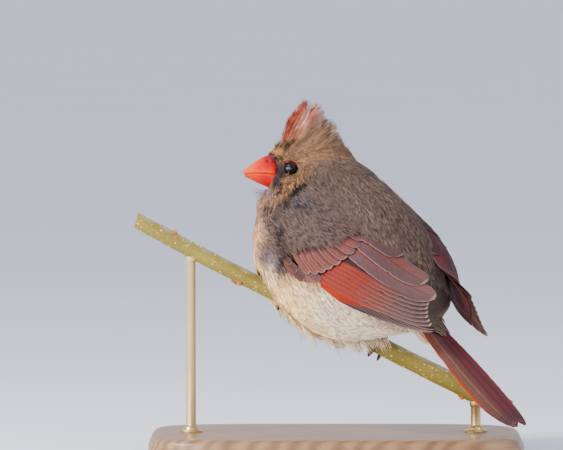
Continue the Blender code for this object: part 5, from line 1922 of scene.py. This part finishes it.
def make_toe(d0, toe, across):
    """A scaly toe round the twig and its curved claw, each as points, faces and tints."""
    t, line, r = toe_line(d0, *toe)
    saw = (t * (toe[2] / SCUTE_LONG)) % 1
    scales = blend(TOE_PALE, TOE_DARK, step(0.25, 0.0, saw) + 0.4 * step(0.85, 1, saw))
    run = unit(line[-1] - line[-2])
    d = d0 + toe[0]
    inward = unit(perch_place(d, 0, perch_at(d)[0]) - line[-1])
    t = np.linspace(0, 1, 24)
    claw = (line[-1] - run * 0.2 + run * (5.8 * t - 1.2 * t * t)[:, None]
            - inward * (1.0 * t - 1.9 * t * t)[:, None])
    size = 0.85 * (1 - t) ** 0.8 + 0.07
    horn = blend(lin(0.45, 0.3, 0.27), lin(0.2, 0.14, 0.13), t)
    return (tube(line, r * (0.95 + 0.1 * saw ** 0.6), 18, across, scales),
            tube(claw, np.stack([size * 0.75, size], axis=-1), 14, across, horn))


def make_foot(side, scales, horn):
    """Four toes round the twig with their claws, and the end of the shank that the coat leaves bare."""
    d0 = FEET[side]
    thick = float(perch_at(d0)[1])
    across = way_of(perch_place, 1, 0, -0.55)
    toes, claws = zip(*(make_toe(d0, toe, across) for toe in TOES))
    stub = np.array([round_perch(d0, 88, r) for r in np.linspace(thick + 0.3, TROUGH + 0.6, 30)])
    saw = np.linspace(0, 2.6, 30) % 1
    radii = np.linspace(1.75, 1.35, 30) * (0.96 + 0.08 * saw ** 0.6)
    shank = tube(stub, radii, 20, np.array([0.3, 1, 0]), blend(TOE_PALE, TOE_DARK, step(0.3, 0.0, saw)))
    make_piece(f"foot_{side}", *join_arrays([*toes, shank]), scales, "leg_scales", f"leg_{side}")
    nodes = [f"claw_{side}_{i + 1}" for i in range(len(TOES))]
    make_piece(f"claws_{side}", *join_arrays(claws), horn, "claw_horn", *nodes)


# Perch and stand

BARK_GREEN = lin(0.52, 0.465, 0.18)
BARK_TOP_HIGHLIGHT = lin(0.62, 0.61, 0.55)
LENTICEL = lin(0.90, 0.66, 0.42)
BUD, BUD_SCALE = lin(0.62, 0.36, 0.16), lin(0.85, 0.5, 0.2)
CUT_WOOD = lin(0.78, 0.7, 0.5)
# The cut ends' rings: how much smaller each is than the one before, and its tint
CUT_RINGS = [(0.94, BARK_GREEN * 0.8), (0.8, CUT_WOOD), (0.55, CUT_WOOD), (0.3, CUT_WOOD),
             (0.12, lin(0.5, 0.36, 0.2))]


def make_perch(material):
    """The twig with its cut ends, raised spots and buds."""
    turn = circle(72)
    rings, tones = [], []
    ridge = np.sin(turn * 5 + 0.6) * 0.04 + np.sin(turn * 11) * 0.02
    for d, _, radius in through(PERCH, 460):
        swell = (0.1 * math.sin(d * 0.35) + 0.22 * math.exp(-((d + 38) / 3) ** 2)
                 + 0.2 * math.exp(-((d - 53) / 3) ** 2))
        rings.append(round_perch(d, np.degrees(turn), radius * (1 + ridge * 0.35) + 0.5 * swell))
        # painted highlight: a pale grey band along the twig's top
        top = step(0.55, 0.95, np.sin(turn) + 0.12 * math.sin(d * 0.8))
        tones.append(blend(BARK_GREEN * (1 + 0.1 * math.sin(d * 0.21)), BARK_TOP_HIGHLIGHT, 0.6 * top))
    for end in (0, -1):
        middle = rings[end].mean(axis=0)
        for share, tone in CUT_RINGS:
            at = 0 if end == 0 else len(rings)
            rings.insert(at, middle + (rings[end] - middle) * share)
            tones.insert(at, tone)
    parts = [(*loft_arrays(rings), loft_tint(tones, len(turn)))]
    parts += lenticels(np.random.default_rng(51)) + buds(np.random.default_rng(52))
    return make_piece("perch_bark", *join_arrays(parts), material, "twig_bark", "perch")


def dome(seat, size, tone, sides):
    """A low raised spot on the bark, closed below; seat is its middle and its ways along, across and out."""
    middle, along, across, out = seat
    turn = circle(sides)
    rings = []
    for share, rise in ((0.6, -0.35), (1.0, 0.0), (0.8, 0.16), (0.45, 0.24), (0.15, 0.16)):
        wobble = 1 + 0.1 * np.sin(turn * 3 + share * 5)
        rings.append(middle + along * (size[0] * share * wobble * np.cos(turn))[:, None]
                     + across * (size[1] * share * wobble * np.sin(turn))[:, None] + out * rise * size[2])
    shade = np.concatenate([np.repeat([0.5, 0.8, 1.05, 1.0, 0.7], sides), [0.5, 0.6]])
    return (*loft_arrays(rings), np.clip(tone * shade[:, None], 0, 1))


def perch_frame(d, angle):
    """A place on the bark and its ways along, across and out."""
    along = unit(round_perch(d + 0.5, angle, 3.4) - round_perch(d - 0.5, angle, 3.4))
    out = unit(round_perch(d, angle, 4.0) - round_perch(d, angle, 3.0))
    return round_perch(d, angle, float(perch_at(d)[1])), along, np.cross(out, along), out


def lenticels(chance):
    """The bark's small pale spots."""
    spots = []
    for _ in range(330):
        seat = perch_frame(chance.uniform(-79, 69), chance.uniform(0, 360))
        size = chance.uniform(0.22, 0.46)
        tone = LENTICEL * chance.uniform(0.8, 1.1)
        spots.append(dome(seat, (size * chance.uniform(1, 1.4), size, 0.9), tone, 10))
    return spots


def buds(chance):
    """Buds on the twig, each with five small scales."""
    lumps = []
    for d, angle, size in BUDS:
        middle, along, across, out = seat = perch_frame(d, angle)
        lumps.append(dome(seat, (size * 1.1, size * 1.1, size * 1.9), BUD, 24))
        for _ in range(5):
            shift = along * chance.uniform(-0.5, 0.5) * size + across * chance.uniform(-0.5, 0.5) * size
            place = middle + shift + out * 0.42 * size
            lumps.append(dome((place, along, across, out), (size * 0.5, size * 0.4, size * 1.5),
                              BUD_SCALE * chance.uniform(0.7, 1.1), 12))
    return lumps


BASE_LENGTH, BASE_WIDTH, BASE_HIGH = 150, 92, 9
# The board's moulded edge, as how far in from its outline and how high
BASE_EDGE = [(1.0, 0), (0.3, 0.25), (0, 0.9), (0, 4.6), (0.25, 5.2), (0.7, 5.45), (0.8, 5.9), (0.9, 6.6),
             (1.3, 7.6), (2.1, 8.4), (3.1, 8.85), (4.4, 9.0)]
ROD_RADIUS = 2.0
RODS = {"left": -58, "right": 56}
# A rod's radius over its height, from the board up and from its top down
ROD_FOOT = [(0.2, 0.02), (4.6, 0.02), (4.7, 0.5), (4.3, 1.0), (3.2, 1.2), (2.9, 2.0), (2.3, 2.5),
            (ROD_RADIUS, 2.8)]
ROD_CUP = [(ROD_RADIUS, -2.6), (2.3, -2.2), (2.6, -1.2), (2.7, -0.1), (2.2, 0.2), (0.2, 0.2)]


def make_base():
    """A flat board with round ends and a moulded edge."""
    turn = circle(240)
    rings = []
    for inset, z in BASE_EDGE:
        d, t = ((full / 2 - inset) * np.copysign(np.abs(share) ** 0.4, share)
                for full, share in ((BASE_LENGTH, np.cos(turn)), (BASE_WIDTH, np.sin(turn))))
        rings.append(perch_place(d, t, z - BODY_UP))
    run = way_of(perch_place, 1, 0, 0)
    wood = wood_material(math.atan2(run[1], run[0]))
    board = make_piece("stand_board", *loft_arrays(rings), None, wood, "stand_wood", "stand_base")
    board.data.set_sharp_from_angle(angle=math.radians(35))


def make_rod(side, material):
    """A thin post with a stepped collar on the board and a small cup under the twig."""
    d = RODS[side]
    u, thick = (float(v) for v in perch_at(d))
    low, top = BASE_HIGH - BODY_UP, u - thick * 0.8
    profile = [(r, low + z) for r, z in ROD_FOOT] + [(r, top + z) for r, z in ROD_CUP]
    turn = circle(48)
    rings = [perch_place(d + r * np.cos(turn), r * np.sin(turn), z) for r, z in profile]
    rod = make_piece(f"stand_post_{side}", *loft_arrays(rings), None, material, "stand_brass",
                     f"stand_rod_{side}")
    rod.data.set_sharp_from_angle(angle=math.radians(40))


# Feathers over the shoulder, rooted on the wing's own surface

# Where they end over the wing: (p, q)
SCAPULAR_EDGE = [(7.5, 0), (9, 2.5), (12, 8.5), (17.5, 11), (24, 14.5), (30, 17.5), (32.5, 20), (33, 23),
                 (33.5, 27), (34, 34)]


def scapular_roots(chance):
    """Roots on the wing as p and q, and how far each lies before the feathers' edge."""
    edge = np.array(SCAPULAR_EDGE, float)
    p, q = chance.uniform(-9, 44, 5200), chance.uniform(-3, 34, 5200)
    border = np.interp(q, edge[:, 1], edge[:, 0])
    before = border - p
    keep = (p < border - 5.2) & (p > border - 34)
    p, q, before = p[keep], q[keep], before[keep]
    kept = thin_out(np.stack([p, q, 0 * p], axis=-1), np.full(len(p), 1.62))
    return p[kept], q[kept], before[kept]


def make_scapulars(material):
    """Soft body feathers that spread over the folded wing's upper part."""
    chance = np.random.default_rng(61)
    t = np.array(STATIONS)
    for side, name in ((1, "left"), (-1, "right")):
        p, q, before = scapular_roots(chance)
        each = (len(p), STRANDS, 1)
        length = 6.4 * chance.uniform(0.85, 1.15, len(p))
        reach = t * chance.uniform(0.75, 1.0, each) + chance.uniform(-0.25, 0.2, each)
        order = np.linspace(-1, 1, STRANDS)[None, :, None] + chance.uniform(-0.12, 0.12, each)
        along = length[:, None, None] * reach
        pp = p[:, None, None] + along
        qq = q[:, None, None] - 0.35 * along * 0.5 + order * (0.85 + 0.6 * reach)
        near_edge = (1 - step(3, 14, before))[:, None, None]
        high = chance.uniform(0.2, 0.9, each) + 1.35 + 0.5 * (1 - near_edge)
        hh = high * np.sin(np.minimum(1, t * 1.6 + 0.25) * math.pi / 2) - 0.35 * t ** 2 * near_edge
        shape = (len(p) * STRANDS, len(t), 3)
        paths = wing_place(pp, qq, hh, side).reshape(shape)
        out = wing_out(pp, qq)
        up = way_of(spot, out[..., 0], side * out[..., 1], out[..., 2]).reshape(shape)
        across = unit(np.cross(up, unit(np.gradient(paths, axis=1))))
        tone = coat_tones(paths, STRANDS, chance, 0.05)
        tone = blend(tone, MANTLE, np.repeat(0.7 * step(2, 9, q) * step(2, 9, p), STRANDS)[:, None])
        uv = np.stack([0.02 + 0.45 * (p + 10) / 56 + (0.5 if side < 0 else 0), 0.05 + 0.9 * (q + 4) / 40],
                      axis=-1)
        coat = Coat()
        coat.add(paths, across, up, 0.15 * chance.uniform(0.75, 1.25, shape[0]), TAPER, tone, SHADE_ALONG,
                 np.repeat(uv, STRANDS, axis=0))
        coat.build(f"scapulars_{name}", material)


# Floor, lights and camera

AZIMUTH, ELEVATION = math.radians(138), math.radians(3)
PIXELS_PER_METRE = 2500
FRAME_WIDE, FRAME_HIGH = 563, 450
BODY_PIXEL = (336, 245)
DISTANCE = 3.0


def make_floor():
    """A plain pale floor, 80 m wide."""
    line = np.linspace(-40000, 40000, 21)
    x, y = np.meshgrid(line, line, indexing="ij")
    points = np.stack([x, y, 0 * x], axis=-1).reshape(-1, 3)
    floor = mesh_object("floor", points, grid_faces(21, 21))
    floor.data.materials.append(floor_material())


def area_light(name, azimuth, elevation, distance, size, power, colour):
    """A round lamp that looks at the bird, from angles in degrees as a view's."""
    a, e = math.radians(azimuth), math.radians(elevation)
    back = Vector((math.sin(a) * math.cos(e), -math.cos(a) * math.cos(e), math.sin(e)))
    light = bpy.data.lights.new(name, "AREA")
    light.shape, light.size, light.energy, light.color = "DISK", size, power, colour
    lamp = new_object(name, light)
    lamp.location = Vector((0, 0, BODY_UP * MM)) + back * distance
    lamp.rotation_euler = (-back).to_track_quat("-Z", "Y").to_euler()


def make_lights():
    """Soft light from all round, and four lamps."""
    world = bpy.data.worlds.new("soft_room")
    bpy.context.scene.world = world
    world.use_nodes = True
    shade = world.node_tree.nodes["Background"]
    shade.inputs["Color"].default_value = (0.87, 0.91, 1.0, 1)
    shade.inputs["Strength"].default_value = 1.0
    area_light("key", 78, 40, 0.9, 0.3, 11, (1.0, 0.95, 0.88))
    area_light("fill", 200, 30, 1.1, 0.8, 3, (0.93, 0.96, 1.0))
    area_light("front", 104, 5, 1.2, 0.3, 11, (1.0, 0.93, 0.84))
    area_light("low_left", 70, 3, 1.0, 0.1, 4, (1.0, 0.93, 0.84))


def make_camera():
    """The photo's view, with the bird at the photo's place and size."""
    cos, sin = math.cos(AZIMUTH), math.sin(AZIMUTH)
    toward = Vector((sin * math.cos(ELEVATION), -cos * math.cos(ELEVATION), math.sin(ELEVATION)))
    right = Vector((cos, sin, 0))
    up = toward.cross(right)
    target = Vector((0, 0, BODY_UP * MM))
    target -= right * ((BODY_PIXEL[0] - FRAME_WIDE / 2) / PIXELS_PER_METRE)
    target += up * ((BODY_PIXEL[1] - FRAME_HIGH / 2) / PIXELS_PER_METRE)
    lens = bpy.data.cameras.new("camera")
    lens.sensor_width = 36
    lens.lens = 36 * DISTANCE / (FRAME_WIDE / PIXELS_PER_METRE)
    lens.clip_start, lens.clip_end = 0.1, 200
    camera = new_object("camera", lens)
    camera.location = target + toward * DISTANCE
    camera.rotation_euler = toward.to_track_quat("Z", "Y").to_euler()
    bpy.context.scene.camera = camera


def build():
    """Everything in the scene, from the camera to the lights."""
    make_camera()
    skin = make_skin()
    coat = make_coat(skin)
    make_scapulars(coat)
    vane = vane_material()
    make_wing("wing_left", 1, vane)
    make_wing("wing_right", -1, vane)
    make_tail(vane)
    make_rump_coverts(vane)
    make_crest(coat)
    make_bristles(coat)
    make_eye_rims(Surface(skin), coat)
    eye = eye_material()
    lid = scute_material("lid_skin", 0.6, 0.04)
    for side, name in ((1, "left"), (-1, "right")):
        make_eye(side, f"eye_{name}", eye)
        make_lids(side, f"lids_{name}", lid)
    make_bill(horn_material())
    scales = scute_material("toe_scutes", 0.45)
    claw = scute_material("claw_horn_fine", 0.3)
    for side in FEET:
        make_foot(side, scales, claw)
    make_perch(bark_material())
    make_base()
    brass = brass_material()
    for side in RODS:
        make_rod(side, brass)
    make_floor()
    make_lights()


def write_sizes():
    """Brings the scene's placements up to date."""
    bpy.context.view_layer.update()


build()
write_sizes()
